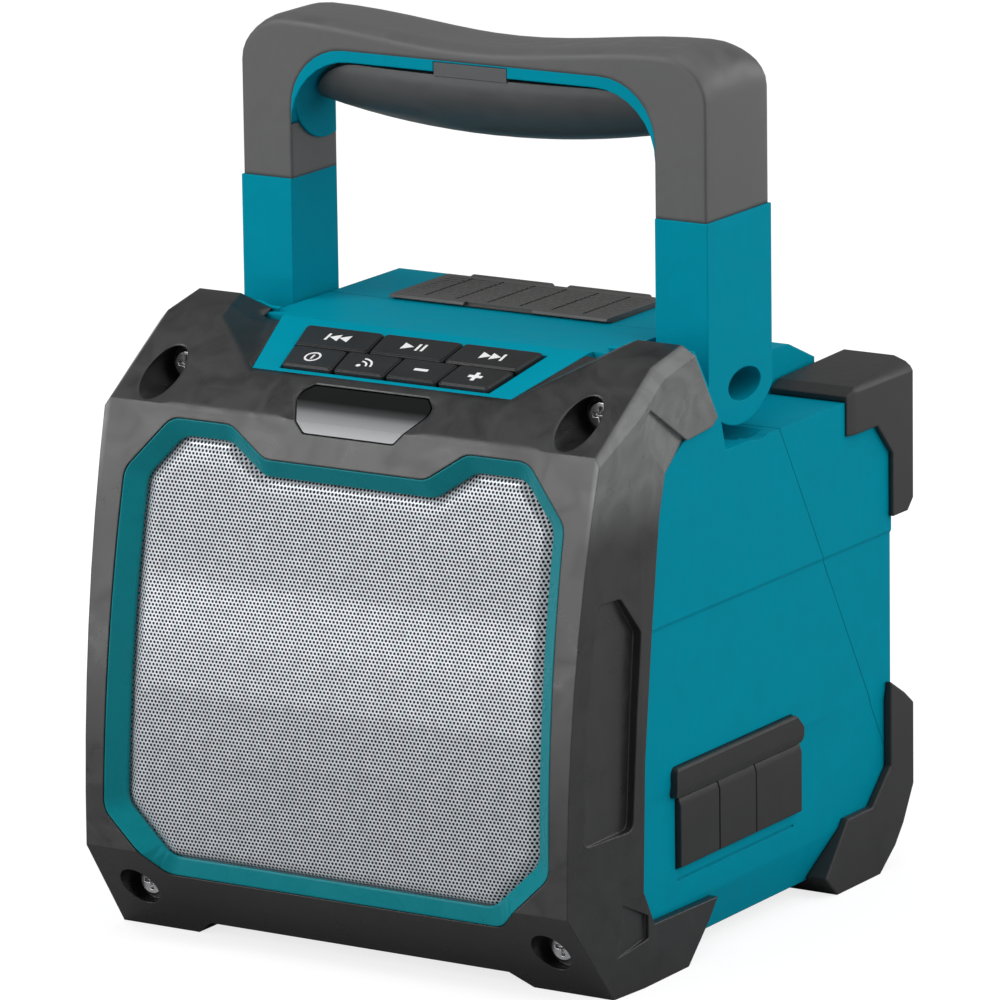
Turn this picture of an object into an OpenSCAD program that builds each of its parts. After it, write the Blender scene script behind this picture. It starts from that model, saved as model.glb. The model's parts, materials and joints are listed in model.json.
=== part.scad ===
// Rugged portable speaker: a sloped front with a perforated grille in a bumper frame, sealed keys on top,
// a carry handle that folds back, a hinged battery lid and capped sockets on one side.
// Front is -Y, up is +Z, the ground is at zero.

/* [Housing] */
// Width across the side faces
body_w = 202; // [198:1:206]
// Distance from the middle to the rear wall
rear_y = 103; // [100:1:106]
// Height of the underside above the ground
base_z = 6; // [5:0.5:7]
// Thickness of the moulded walls
wall = 3; // [2.6:0.1:3.4]
// Height of the top deck
deck_z = 211; // [209:1:213]
// How far the ledges under the handle arms lie below the deck
ledge_drop = 35; // [33:1:37]
// Width of the top deck
deck_w = 140; // [137:1:143]
// Length of the top deck behind the middle
deck_back = 50; // [48:1:54]
// How far the step behind the deck lies below it
step_drop = 20; // [18:1:22]
// How far the top edge of the rear wall lies below the deck
rear_drop = 28; // [26:1:30]
// Distance behind the middle at which the parting line leaves the ledge
part_y = 25.5; // [23:0.5:28]
// Slant of the parting line from the vertical
part_slant = 29.8; // [28:0.2:31]

/* [Front] */
// Distance from the middle to the foremost point
front_reach = 114; // [111:1:117]
// Radius of the front face seen from the side
front_r = 572; // [540:4:620]
// Height at which the chin starts to run back
chin_z = 34; // [31:1:37]
// How far the chin runs back down to the feet
chin_run = 25.5; // [22:0.5:28]
// How far below the deck the front face bends into the brow
brow_drop = 22; // [20:1:24]
// Distance from the foremost point back to the bend between brow and horn ridge
ridge_back = 58; // [55:1:61]
// Height of that bend above the deck
ridge_rise = 2; // [0.5:0.5:3.5]
// Place of the rear end of the horns, in front of the middle
horn_y = 36; // [34:1:38]
// Height of the horns above the deck
horn_rise = 6; // [4.5:0.5:7.5]
// Chamfer on the outer edges of brow and horns
horn_chamfer = 4; // [3:0.5:5]
// Thickness of the frame over the front
frame_t = 4.5; // [4:0.1:5]
// Thickness of the frame over the sides
frame_side = 4; // [3.5:0.1:4.5]
// How far the frame stands out from the housing sides
frame_proud = 1; // [0.6:0.1:1.5]
// How much narrower the frame is at its nose, each side
frame_taper = 4.2; // [3:0.2:5]
// Width of the strip of frame on the sides
strip_w = 43; // [40:1:46]
// Rear end of the front feet, in front of the middle
foot_back = 21.5; // [18:0.5:25]
// Height of the front feet on the sides
foot_h = 20; // [18:1:22]
// Half of the gap between the feet
foot_gap = 70; // [66:1:74]
// Distance between the frame screws
frame_screw_span = 168; // [165:1:170]
// How far below the deck the upper frame screws sit
frame_screw_drop = 14; // [12.5:0.5:15.5]
// Height of the lower frame screws
frame_screw_lo = 18; // [17:0.5:20]

/* [Grille] */
// Width of the bezel
bezel_w = 181; // [177:1:184]
// Height of the lower edge of the bezel
bezel_lo = 26; // [24:1:28]
// How far below the deck the upper edge of the bezel lies
bezel_drop = 26; // [25:1:28]
// How much deeper its dip below the status window is
bezel_dip_drop = 10; // [8:1:12]
// Rounding of the bezel's corners
bezel_r = 8; // [6:0.5:10]
// Width of the funnel between bezel edge and grille
bezel_lip = 6.8; // [6:0.2:7.6]
// Depth of the funnel
bezel_depth = 5.2; // [4.6:0.2:5.8]
// Thickness of the grille sheet
grille_t = 1; // [0.8:0.1:1.2]
// Width of the grille's hidden rim
grille_rim = 2.3; // [1.8:0.1:3]

/* [Keys] */
// How far below the deck the front edge of the key panel lies
panel_drop = 10.6; // [9.6:0.2:11.6]
// Distance from the foremost point back to the front edge of the key panel
panel_back = 41.6; // [40:0.2:43]
// Slope of the key panel
panel_slope = 16.7; // [15.5:0.1:18]
// Half width of the panel at its front edge
panel_half = 52.5; // [51:0.5:54]
// Half width of the keypad at its lower edge
pad_lo = 42; // [40:0.5:44]
// Half width of the keypad at its upper edge
pad_hi = 48.5; // [46:0.5:50]
// Height of one row of keys along the slope
key_h = 13.6; // [12.6:0.2:14.2]
// Gap between keys
key_gap = 0.8; // [0.6:0.1:1]
// How far the keys stand out
key_proud = 1.6; // [1.2:0.1:2]
// Travel of the keys
key_travel = 0.9; // [0.7:0.05:1]

/* [Handle] */
// Height of the handle's upper corners
handle_z = 312; // [307:1:317]
// How much lower the middle of the bar is
handle_sag = 5.4; // [4:0.2:6]
// How far back the rounding of the bar's front edge reaches
front_soft = 8; // [6:0.5:10]
// How far forward the rounding of the bar's rear edge reaches
rear_soft = 18; // [14:0.5:20]
// Bevel on the inner rear edges of the arms
arm_bevel = 14; // [12:0.5:14.4]
// Width of an arm
arm_w = 20.8; // [20:0.2:21.6]
// Depth of the arms, front to back
arm_d = 43.2; // [42:0.2:44.4]
// Gap between deck and arms
arm_gap = 4; // [3.4:0.2:4.4]
// Place of the arms' front faces, in front of the middle
arm_front = 12.8; // [12.4:0.2:13.4]
// Distance of the pivot behind the middle of an arm
pivot_shift = 2.7; // [2.3:0.1:3.2]
// How far the pivot lies below the deck
pivot_drop = 17; // [16:0.5:18]
// Distance from the pivot to the end of an arm
arm_end = 13.8; // [13:0.2:14.4]
// Diameter of the pivot pins
pivot_d = 8; // [7:0.5:9]
// Height of the oval wells in the arms
well_h = 11.4; // [11:0.1:12]
// Length of the oval wells along the arms' outer faces
well_len = 22; // [20:0.5:24]
// Thickness of the arms at the bottom of the wells
well_floor = 4.4; // [4:0.2:6]
// How far the seam between arm and cover lies below the handle's upper corners
seam_drop = 58; // [54:1:62]
// How far the underside of the cover lies below the handle's upper corners
band_drop = 10.7; // [10:0.1:12]
// Thickness of the teal band under the cover
band_t = 4; // [3.5:0.1:4.5]
// Depth of the palm grip below the band at its middle
grip_h = 24.5; // [22:0.5:25]

/* [Battery lid] */
// Width of the lid
lid_w = 89; // [86:1:92]
// Length of the lid in front of its hinge
lid_len = 42; // [40:0.5:44]
// Thickness of the lid
lid_t = 3.4; // [3:0.1:3.8]
// Height of the lid's top above the deck
lid_proud = 1.9; // [1.7:0.1:2.4]
// Diameter of the hinge pin
lid_pin_d = 2.4; // [2:0.1:2.8]
// Depth of the battery bay
bay_depth = 84; // [78:1:90]

/* [Sockets] */
// Front end of the socket cover, in front of the middle
port_front = 46; // [45:0.5:47]
// Length of the flap over the charging socket
flap_usb_len = 26.5; // [25:0.5:28]
// Length of the flap over the audio socket
flap_aux_len = 25; // [23.5:0.5:26.5]
// Length of the flap over the power socket
flap_dc_len = 32; // [30:0.5:34]
// Height of the flaps' lower edge
flap_lo = 36; // [35:0.5:37]
// Height of the crease that the flaps swing on
flap_hi = 61; // [60.5:0.5:62]
// Thickness of the flaps
flap_t = 3.5; // [3.2:0.1:3.8]
// Height of the strip above the flaps
strip_h = 11; // [10:0.5:12]

/* [Rear bumpers] */
// Thickness behind the rear wall
bumper_back = 12.5; // [11:0.5:14]
// Thickness on the sides
bumper_side = 2; // [1.6:0.1:2.4]
// Thickness on the ledge
bumper_top = 6.5; // [5:0.5:7.5]
// Distance of the upper bumper's front end from the rear wall
bumper_len = 33; // [31:1:35]
// Height of the lower end of the upper bumpers
bumper_lo = 129; // [126:1:133]
// Height of the upper end of the lower bumpers
bumper_hi = 65; // [62:1:68]

/* [Drivers] */
// Outer diameter of the woofer
woofer_d = 104; // [100:1:106]
// How far the middle of the woofer lies below the middle of the bezel
woofer_low = 9.5; // [8:0.5:11]
// Distance of the baffle behind the front face
baffle_back = 15; // [14.5:0.1:15.5]
// Thickness of the baffle
baffle_t = 4; // [3.6:0.1:4.4]
// Diameter of the tweeter
tweeter_d = 38; // [36:0.5:39]
// Sideways place of the tweeter
tweeter_x = 56; // [54:0.5:57]
// How far the middle of the tweeter lies below the upper edge of the bezel
tweeter_drop = 30; // [29:0.5:31]

/* [Hidden] */
$fn = 48;
fit = 0.2;
far = 400;
curve_steps = 8;
half_w = body_w / 2;
frame_half = half_w + frame_proud;
core_half = frame_half - frame_side;
deck_half = deck_w / 2;
ledge_z = deck_z - ledge_drop;
step_z = deck_z - step_drop;
rear_top_z = deck_z - rear_drop;
part_z = ledge_z - 2;
brow_z = deck_z - brow_drop;
ridge_y = front_reach - ridge_back;
ridge_z = deck_z + ridge_rise;
horn_z = deck_z + horn_rise;
frame_screw_hi = deck_z - frame_screw_drop;
bezel_hi = deck_z - bezel_drop;
bezel_dip = bezel_hi - bezel_dip_drop;
woofer_z = (bezel_lo + bezel_hi) / 2 - woofer_low;
tweeter_z = bezel_hi - tweeter_drop;
panel_z = deck_z - panel_drop;
panel_y = front_reach - panel_back;
pivot_z = deck_z - pivot_drop;
band_z = handle_z - band_drop;
seam_z = handle_z - seam_drop;
flap_len = [flap_usb_len, flap_aux_len, flap_dc_len];
crease_hi = 123;
crease_lo = 64;
crease_step = 0.6;
low_half = half_w - 2 * crease_step;
rear_chamfer = 22;
tuck_in = 6;
tuck_up = 17;

function front_y(z) = z < chin_z
    ? -front_reach + (chin_z - z) * chin_run / chin_z
    : -front_reach + front_r - sqrt(front_r * front_r - (z - chin_z) * (z - chin_z));
function front_curve(z0, z1, back) =
    [for (i = [0:curve_steps]) let (z = z0 + (z1 - z0) * i / curve_steps) [front_y(z) + back, z]];
function reversed(list) = [for (i = [len(list) - 1:-1:0]) list[i]];
function mirrored(list) = [for (p = reversed(list)) [-p[0], p[1]]];
function shifted(list, dy, dz) = [for (p = list) [p[0] + dy, p[1] + dz]];

// Corner of a closed outline moved inwards by d, and a rounded corner as a short arc of points
function unit(v) = v / norm(v);
function turn_left(v) = [-v[1], v[0]];
function inset(p, d) = [for (i = [0:len(p) - 1])
    let (
        a = unit(p[i] - p[(i + len(p) - 1) % len(p)]),
        b = unit(p[(i + 1) % len(p)] - p[i]),
        m = turn_left(a) + turn_left(b)
    ) p[i] + m * (2 * d / (m * m))];
function rounded(p, r, steps = 4) = [for (i = [0:len(p) - 1])
    let (
        a = unit(p[(i + len(p) - 1) % len(p)] - p[i]),
        b = unit(p[(i + 1) % len(p)] - p[i]),
        half = acos(max(-1, min(1, a * b))) / 2,
        reach = r / tan(half),
        centre = p[i] + unit(a + b) * (r / sin(half)),
        from = p[i] + a * reach - centre,
        to = p[i] + b * reach - centre
    ) for (k = [0:steps]) let (v = from * (steps - k) + to * k) centre + unit(v) * r];

// Outline with points added so that no step along the guide is longer than step
function split(p, guide, step) = [for (i = [0:len(p) - 1])
    let (next = (i + 1) % len(p), n = ceil(norm(guide[next] - guide[i]) / step))
    for (k = [0:n - 1]) p[i] + (p[next] - p[i]) * k / n];

// Lists joined into one, and the triangles between rings k and on of count points each
function flat(lists) = [for (list = lists, item = list) item];
function ring_faces(k, on, count) = [for (i = [0:count - 1])
    let (next = (i + 1) % count)
    for (face = [
        [k * count + i, on * count + i, on * count + next],
        [k * count + i, on * count + next, k * count + next]
    ]) face];

module along_x(x0, x1) { translate([x0, 0, 0]) rotate([90, 0, 90]) linear_extrude(x1 - x0) children(); }
module along_y(y0, y1) { translate([0, y1, 0]) rotate([90, 0, 0]) linear_extrude(y1 - y0) children(); }
module peg_x(x0, x1, y, z, r) { translate([x0, y, z]) rotate([0, 90, 0]) cylinder(h = x1 - x0, r = r); }
module peg_y(y0, y1, x, z, r) { translate([x, y1, z]) rotate([90, 0, 0]) cylinder(h = y1 - y0, r = r); }
module both_sides() { children(); mirror([1, 0, 0]) children(); }
module box(lo, hi) { translate(lo) cube(hi - lo); }

// Bumper frame

brow_y = front_y(brow_z);
toe_back = foot_back + 20;
side_border = [
    [-horn_y + 17, ledge_z + 13],
    [-horn_y + 13.2, ledge_z + 10.4],
    [-horn_y - 3.3, ledge_z + 9],
    [-horn_y - 18.5, ledge_z + 0.5],
    [-horn_y - 22.5, ledge_z - 14],
    [front_y(crease_hi) + strip_w, crease_hi],
    [front_y(79) + strip_w, 79],
    [front_y(chin_z) + strip_w, chin_z],
    [front_y(chin_z) + strip_w + 7, foot_h + 1],
    [-foot_back, foot_h],
    [-foot_back - 6, base_z + 7],
    [-toe_back, 0]
];
frame_outline = concat(
    [[front_y(0), 0]],
    front_curve(chin_z, brow_z, 0),
    [[-ridge_y, ridge_z], [-horn_y, horn_z]],
    side_border
);
frame_plan = [
    [frame_half - frame_taper, -front_reach - 1],
    [frame_half, -front_reach + strip_w],
    [frame_half, far],
    [-frame_half, far],
    [-frame_half, -front_reach + strip_w],
    [-frame_half + frame_taper, -front_reach - 1]
];
function core_outline(gap) = concat(
    [[front_y(base_z) + frame_t + gap, base_z]],
    front_curve(chin_z, brow_z - 4, frame_t + gap),
    [
        [-ridge_y + frame_t + gap, ridge_z - frame_t + 1 - gap],
        [-horn_y, horn_z - frame_t - gap],
        [-horn_y + 30, horn_z - frame_t - gap],
        [-horn_y + 30, base_z]
    ]
);

bezel_corners = [
    [bezel_w / 2 - 22.5, bezel_lo],
    [bezel_w / 2, bezel_lo + 21.7],
    [bezel_w / 2 - 1.7, bezel_hi - 19],
    [bezel_w / 2 - 18.5, bezel_hi],
    [bezel_w / 2 - 43, bezel_hi],
    [bezel_w / 2 - 58, bezel_dip]
];
bezel_outline = concat(bezel_corners, mirrored(bezel_corners));
function bezel_path(d) = rounded(inset(bezel_outline, d), bezel_r);

window_corners = [[18, bezel_dip + 10.4], [27.4, panel_z - 5], [22.8, panel_z - 2.2]];
window_outline = concat(window_corners, mirrored(window_corners));
window_gap = 0.5;

panel_rise = tan(panel_slope);
panel_end = -panel_y + (deck_z - panel_z) / panel_rise;
panel_plan_corners = [[panel_half, -panel_y], [panel_half + 12.5, -panel_y + 42.4], [panel_half + 12.5, 0]];
panel_plan = concat(panel_plan_corners, mirrored(panel_plan_corners));
horn_lean = 26;
horn_turn = 10;

module above_panel() {
    translate([0, -panel_y, panel_z]) rotate([panel_slope, 0, 0]) box([-far, -far, 0], [far, far, far]);
}
module inside_horn() {
    translate([panel_half, -panel_y, panel_z]) rotate([0, 0, horn_turn]) rotate([0, -horn_lean, 0])
        box([-far, -far, 0], [far, far, far]);
}
module above_edge(y, z, slope) {
    translate([frame_half, y, z]) rotate([slope, 0, 0]) rotate([0, 45, 0])
        box([-far, -far, -horn_chamfer / sqrt(2)], [far, far, far]);
}
module horn_edges() {
    both_sides() {
        above_edge(brow_y, brow_z, atan2(ridge_z - brow_z, -ridge_y - brow_y));
        above_edge(-ridge_y, ridge_z, atan2(horn_z - ridge_z, ridge_y - horn_y));
    }
}
module panel_space() {
    intersection() {
        above_panel();
        inside_horn();
        mirror([1, 0, 0]) inside_horn();
    }
}

frame_screw_x = frame_screw_span / 2;
seat_hi = 51.5 - front_reach;
seat_lo = front_y(frame_screw_lo) + 11;
seat_t = 3;
foot_lift = base_z - 0.6;
boss_r = 10;
counterbore_r = 7.3;
groove_depth = 2.2;
groove_z = [57, 139];
groove_outline = [
    [front_y(groove_z[0]) + 9, groove_z[0]],
    [front_y(97) + 8, 97],
    [front_y(groove_z[1]) + 9, groove_z[1]],
    [front_y(groove_z[1]) + 22, groove_z[1]],
    [front_y(125) + strip_w - 7, 125],
    [front_y(97) + strip_w - 6, 97],
    [front_y(groove_z[0]) + strip_w - 6, groove_z[0]]
];
notch_start = [-horn_y - 35.6, ledge_z + 18.2];
notch_outline = [
    notch_start,
    [-horn_y - 27.5, ledge_z + 24.3],
    [-horn_y - 3.3, ledge_z + 9],
    [-horn_y - 3.3, ledge_z + 4],
    [-horn_y - 18.5, ledge_z + 0.5]
];
module notch() {
    intersection() {
        along_x(0, far) polygon(notch_outline);
        translate([frame_half, notch_start[0], notch_start[1]]) rotate([44, 0, 0]) rotate([0, 0, 6.5])
            box([0, -far, -far], [far, far, far]);
    }
}
heel_outline = [
    [front_y(chin_z) + 31, foot_h + 12],
    [front_y(chin_z) + 46, foot_h + 5],
    [front_y(chin_z) + 46, foot_h - 3],
    [front_y(foot_h) + 16, foot_h - 6],
    [front_y(foot_h) + 18, foot_h]
];

module frame_screw_places() {
    both_sides() {
        translate([frame_screw_x, seat_hi, frame_screw_hi]) children();
        translate([frame_screw_x, seat_lo, frame_screw_lo]) children();
    }
}

module front_frame() {
    color("dimgray") difference() {
        union() {
            difference() {
                intersection() {
                    along_x(-frame_half, frame_half) polygon(frame_outline);
                    linear_extrude(far) polygon(frame_plan);
                }
                difference() {
                    along_x(-core_half, core_half) polygon(core_outline(0));
                    translate([0, 0, -frame_t]) panel_space();
                }
                translate([0, 0, 100]) linear_extrude(far) polygon(panel_plan);
                along_x(-deck_half, deck_half) polygon([[-40, 100], [-40, far], [far, far], [far, 100]]);
            }
            intersection() {
                along_x(-frame_half, frame_half) polygon(frame_outline);
                frame_screw_places() rotate([90, 0, 0]) translate([0, 0, -seat_t])
                    cylinder(h = 60, r = boss_r);
            }
        }
        panel_space();
        horn_edges();
        frame_screw_places() {
            rotate([90, 0, 0]) cylinder(h = 80, r = counterbore_r);
            rotate([90, 0, 0]) translate([0, 0, -seat_t - 1]) cylinder(h = seat_t + 2, r = 2.3);
        }
        along_y(-far, -front_reach + 45) polygon(bezel_path(-fit));
        along_y(-far, -panel_y + 8) polygon(rounded(inset(window_outline, -window_gap), 2));
        along_y(-far, far) polygon([
            [foot_gap, -1],
            [foot_gap - 9, foot_lift],
            [-foot_gap + 9, foot_lift],
            [-foot_gap, -1]
        ]);
        box([-foot_gap + 6, front_y(0) + 14, -1], [foot_gap - 6, 0, base_z]);
        both_sides() {
            along_x(frame_half - groove_depth - 1.2, far) polygon(rounded(groove_outline, 3));
            notch();
            along_x(frame_half - 1.5, far) polygon(heel_outline);
        }
    }
}

frame_screw_len = 12;
module frame_screws() {
    color("gray") frame_screw_places() difference() {
        rotate([90, 0, 0]) union() {
            cylinder(h = 3.6, r = 4.6);
            translate([0, 0, -frame_screw_len]) cylinder(h = frame_screw_len, r = 2);
        }
        for (a = [0, 90]) rotate([0, a, 0]) box([-3, -5, -0.6], [3, -2, 0.6]);
    }
}

// Grille, bezel and status window

bezel_back = bezel_depth + 1.3;
module bezel_ring() {
    outer = split(bezel_path(0), bezel_path(0), 4);
    inner = split(bezel_path(bezel_lip), bezel_path(0), 4);
    count = len(outer);
    at_depth = [
        [for (p = outer) [p[0], front_y(p[1]), p[1]]],
        [for (p = inner) [p[0], front_y(p[1]) + bezel_depth, p[1]]],
        [for (p = inner) [p[0], front_y(p[1]) + bezel_back, p[1]]],
        [for (p = outer) [p[0], front_y(p[1]) + bezel_back, p[1]]]
    ];
    polyhedron(flat(at_depth), flat([for (k = [0:3]) ring_faces(k, (k + 1) % 4, count)]));
}
module grille_bezel() { color("darkcyan") bezel_ring(); }

band_heights = concat([12, chin_z], [for (i = [1:curve_steps]) chin_z + (brow_z - chin_z) * i / curve_steps]);
function front_band(d0, d1) = concat(
    [for (z = band_heights) [front_y(z) + d0, z]],
    [for (z = reversed(band_heights)) [front_y(z) + d1, z]]
);
grille_front = bezel_back + 0.8;
grille_back = grille_front + grille_t;
module grille_mesh() {
    color("silver") intersection() {
        along_x(-half_w, half_w) polygon(front_band(grille_front, grille_back));
        along_y(-far, 0) polygon(bezel_path(bezel_lip - grille_rim));
    }
}

lens_t = 2;
function brow_line(d) = [
    [front_y(brow_z - 15) + d, brow_z - 15],
    [brow_y + d, brow_z],
    [-ridge_y + d, ridge_z]
];
module status_window() {
    color("lightgray") intersection() {
        along_x(-half_w, half_w) polygon(concat(brow_line(0.3), reversed(brow_line(0.3 + lens_t))));
        along_y(-far, 0) polygon(rounded(window_outline, 2));
    }
}

// Housing

baffle_tilt = atan2(brow_y - front_y(chin_z), brow_z - chin_z);
function baffle_y(z, d) = front_y(chin_z) + baffle_back + d + (z - chin_z) * tan(baffle_tilt);
module on_baffle(x, z) { translate([x, baffle_y(z, 0), z]) rotate([90 - baffle_tilt, 0, 0]) children(); }

main_outline = concat(
    [[front_y(base_z) + frame_t + fit, base_z]],
    front_curve(chin_z, ledge_z, frame_t + fit),
    [[rear_y, ledge_z], [rear_y, base_z + rear_chamfer], [rear_y - rear_chamfer, base_z]]
);
side_half_outline = [
    [low_half - tuck_in, base_z],
    [low_half, base_z + tuck_up],
    [low_half, crease_lo - 2],
    [low_half + crease_step, crease_lo + 2],
    [low_half + crease_step, crease_hi - 0.6],
    [half_w, crease_hi + 0.6],
    [half_w, ledge_z]
];
deck_outline = [
    [-panel_y + fit, ledge_z - 10],
    [-panel_y + fit, panel_z],
    [panel_end, deck_z],
    [deck_back, deck_z],
    [deck_back + 7, step_z + 1],
    [rear_y - 18, step_z],
    [rear_y, rear_top_z],
    [rear_y, ledge_z - 10]
];
function border_y(z) = -horn_y + 17 * (horn_z - z) / (horn_z - ledge_z - 13) + fit;
shoulder_back = horn_y - 24;
shoulder_outline = [
    [-horn_y - 24, ledge_z - 20],
    [-horn_y - 24, ledge_z + 10],
    [-horn_y - 2, horn_z - 2 * frame_t - wall],
    [border_y(horn_z - 2 * frame_t - fit), horn_z - 2 * frame_t - fit],
    [border_y(horn_z - 2.8), horn_z - 2.8],
    [-horn_y + 3.5, horn_z - 2.5],
    [-horn_y + 20.5, ledge_z + 12],
    [-shoulder_back, ledge_z],
    [-shoulder_back, ledge_z - 10]
];
arm_in = deck_half + arm_gap;
arm_out = arm_in + arm_w;
arm_mid = -arm_front + arm_d / 2;
pivot_y = arm_mid + pivot_shift;
scoop_r = arm_d / 2 - pivot_shift + 1.5;
dip_r = pivot_z - ledge_z + 1;

module body_outer() {
    difference() {
        union() {
            intersection() {
                along_x(-half_w, half_w) polygon(main_outline);
                along_y(-far, far) polygon(concat(side_half_outline, mirrored(side_half_outline)));
            }
            difference() {
                along_x(-core_half + fit, core_half - fit) intersection() {
                    polygon(core_outline(fit));
                    polygon([[-far, ledge_z - 12], [-far, far], [-horn_y, far], [-horn_y, ledge_z - 12]]);
                }
                translate([0, 0, -frame_t - fit]) panel_space();
            }
            intersection() {
                along_x(-deck_half, deck_half) polygon(deck_outline);
                union() {
                    linear_extrude(far) polygon(inset(panel_plan, fit));
                    along_x(-far, far) polygon([[-horn_y, 0], [-horn_y, far], [far, far], [far, 0]]);
                    box([-far, -far, 0], [far, far, ledge_z]);
                }
            }
            difference() {
                both_sides() along_x(deck_half - wall, half_w) polygon(shoulder_outline);
                panel_space();
                intersection() {
                    translate([0, 0, -frame_t - fit]) panel_space();
                    along_x(-far, far) polygon(shifted(frame_outline, fit, 0));
                }
            }
        }
        both_sides() {
            along_x(core_half - fit, far) polygon(shifted(frame_outline, fit, 0));
            peg_x(deck_half + 1, arm_out + 1.5, pivot_y, pivot_z, scoop_r);
            peg_x(deck_half + 1, far, pivot_y, pivot_z, dip_r);
        }
    }
}

side_inner = low_half - wall - 0.4;
panel_in = -panel_y + 8;
function under_panel(y) = panel_z + (y + panel_y) * panel_rise - wall / cos(panel_slope);
panel_in_end = panel_end + (wall / cos(panel_slope) - wall) / panel_rise;
cavity_low = base_z + wall;
function side_cavity(more) = [
    [side_inner - tuck_in * (1 - wall / tuck_up) - more, cavity_low],
    [side_inner - more, base_z + tuck_up],
    [side_inner - more, ledge_z]
];
module body_cavity(more) {
    intersection() {
        along_x(-half_w, half_w) polygon([
            [front_y(cavity_low) + frame_t + 2 * wall + more, cavity_low + more],
            [baffle_y(chin_z + 6, baffle_t + more), chin_z + 6],
            [baffle_y(ledge_z - wall, baffle_t + more), ledge_z - 2 * wall - more],
            [rear_y - wall - more, ledge_z - 2 * wall - more],
            [rear_y - wall - more, base_z + rear_chamfer + 1],
            [rear_y - rear_chamfer - 1, cavity_low + more]
        ]);
        along_y(-far, far) polygon(concat(side_cavity(more), mirrored(side_cavity(more))));
    }
    along_x(-deck_half + wall + more, deck_half - wall - more) polygon([
        [panel_in + more, ledge_z - 3 * wall],
        [panel_in + more, under_panel(panel_in) - 8],
        [panel_in + 5, under_panel(panel_in + 5) - more],
        [panel_in_end, deck_z - wall - more],
        [deck_back - wall - more, deck_z - wall - more],
        [deck_back + 6 - wall - more, step_z - wall - more],
        [rear_y - 27, step_z - wall - more],
        [rear_y - wall - more, rear_top_z - wall - more],
        [rear_y - wall - more, ledge_z - 3 * wall]
    ]);
    both_sides() along_x(deck_half, core_half - fit - wall - more) polygon([
        [-panel_y + 2 * wall, ledge_z - 3 * wall],
        [-panel_y + 2 * wall, ledge_z + wall],
        [-ridge_y + 2 * wall, ridge_z - frame_t - 3 * wall],
        [-horn_y + wall, horn_z - 2 * frame_t - 2 * wall],
        [-shoulder_back - 2.5 * wall, ledge_z + wall],
        [-shoulder_back - 2 * wall, ledge_z - 3 * wall]
    ]);
}

module behind_parting(gap) {
    translate([0, part_y, part_z]) rotate([part_slant, 0, 0]) box([-far, gap, -far], [far, far, far]);
}
function parting_y(z) = part_y + (part_z - z) * tan(part_slant);

// Openings through the shell
lid_y = deck_back - 4.5;
lid_front = lid_y - lid_len;
lid_half = lid_w / 2;
lid_axis_z = deck_z - 1.6;
lid_top = deck_z + lid_proud;
lid_low = lid_top - lid_t;
knuckle_r = 3.5;
bay_half = lid_half - 5;
bay_front = max(lid_front + 8, parting_y(deck_z - wall) + 6);
bay_back = lid_y - knuckle_r - 2;
bay_wall = 2;
flap_out = low_half + 2.2;
pocket_x = flap_out - flap_t - fit;
port_ends = [for (i = [0:3]) -port_front + (i > 0 ? flap_len[0] : 0) + (i > 1 ? flap_len[1] : 0)
    + (i > 2 ? flap_len[2] : 0)];
strip_outline = rounded([
    [port_ends[0] - 3.5, flap_hi + 0.3],
    [port_ends[3], flap_hi + 0.3],
    [port_ends[3], flap_hi + strip_h - 5],
    [port_ends[3] - 5, flap_hi + strip_h],
    [port_ends[0] - 3.5, flap_hi + strip_h]
], 2);
port_y = [for (i = [0:2]) (port_ends[i] + port_ends[i + 1]) / 2];
port_z = (flap_lo + flap_hi) / 2 - 1;
plug_len = 1.6;

module front_of_baffle() {
    translate([0, baffle_y(woofer_z, 0), woofer_z]) rotate([-baffle_tilt, 0, 0])
        box([-far, -far, -far], [far, 0, far]);
}
housing_screw_x = side_inner - 4;
housing_screw_z = [118, 76];
screw_boss_r = 5;
key_top = 2 * key_h + key_gap;
pad_margin = 2.6;
function pad_half(v) = pad_lo + (pad_hi - pad_lo) * v / key_top;
module on_panel() { translate([0, -panel_y, panel_z]) rotate([panel_slope, 0, 0]) children(); }
pad_outline = [
    [pad_lo + 0.4, pad_margin - 0.4],
    [pad_hi + 0.4, pad_margin + key_top + 0.4],
    [-pad_hi - 0.4, pad_margin + key_top + 0.4],
    [-pad_lo - 0.4, pad_margin - 0.4]
];
key_foot = 1.9;
mat_top = wall + 0.2;
mat_t = 1.2;
plunger_end = 6.2;
board_top = plunger_end + key_travel + 1.6;
board_t = 1.6;
board_post = [[pad_hi + 5.5, 25], [pad_lo + 9, 11]];
post_r = 2.2;
pocket_deep = board_top + board_t + 0.7;
pocket_outline = [
    [pad_lo + 3, pad_margin - 1.4],
    [pad_hi + 3, pad_margin + key_top + 3],
    [-pad_hi - 3, pad_margin + key_top + 3],
    [-pad_lo - 3, pad_margin - 1.4]
];

bush_r = pivot_d / 2 + 3;
bush_in = deck_half - 2 * wall - 2;

module woofer_hole() { translate([0, 0, -20]) cylinder(h = 40, r = woofer_d / 2 - 5.7); }
module woofer_screw_places() {
    for (a = [45:90:315]) rotate([0, 0, a]) translate([woofer_d / 2 - 3.2, 0, 0]) children();
}

main_board_z = cavity_low + 8;
main_board_at = [[-60, 0], [60, 70]];
board_corner = 6;
io_board_x = side_inner - 15;
io_posts = [[port_y[0] + 15, flap_lo + 1], [port_y[2] - 17.5, flap_hi - 4]];

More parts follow.
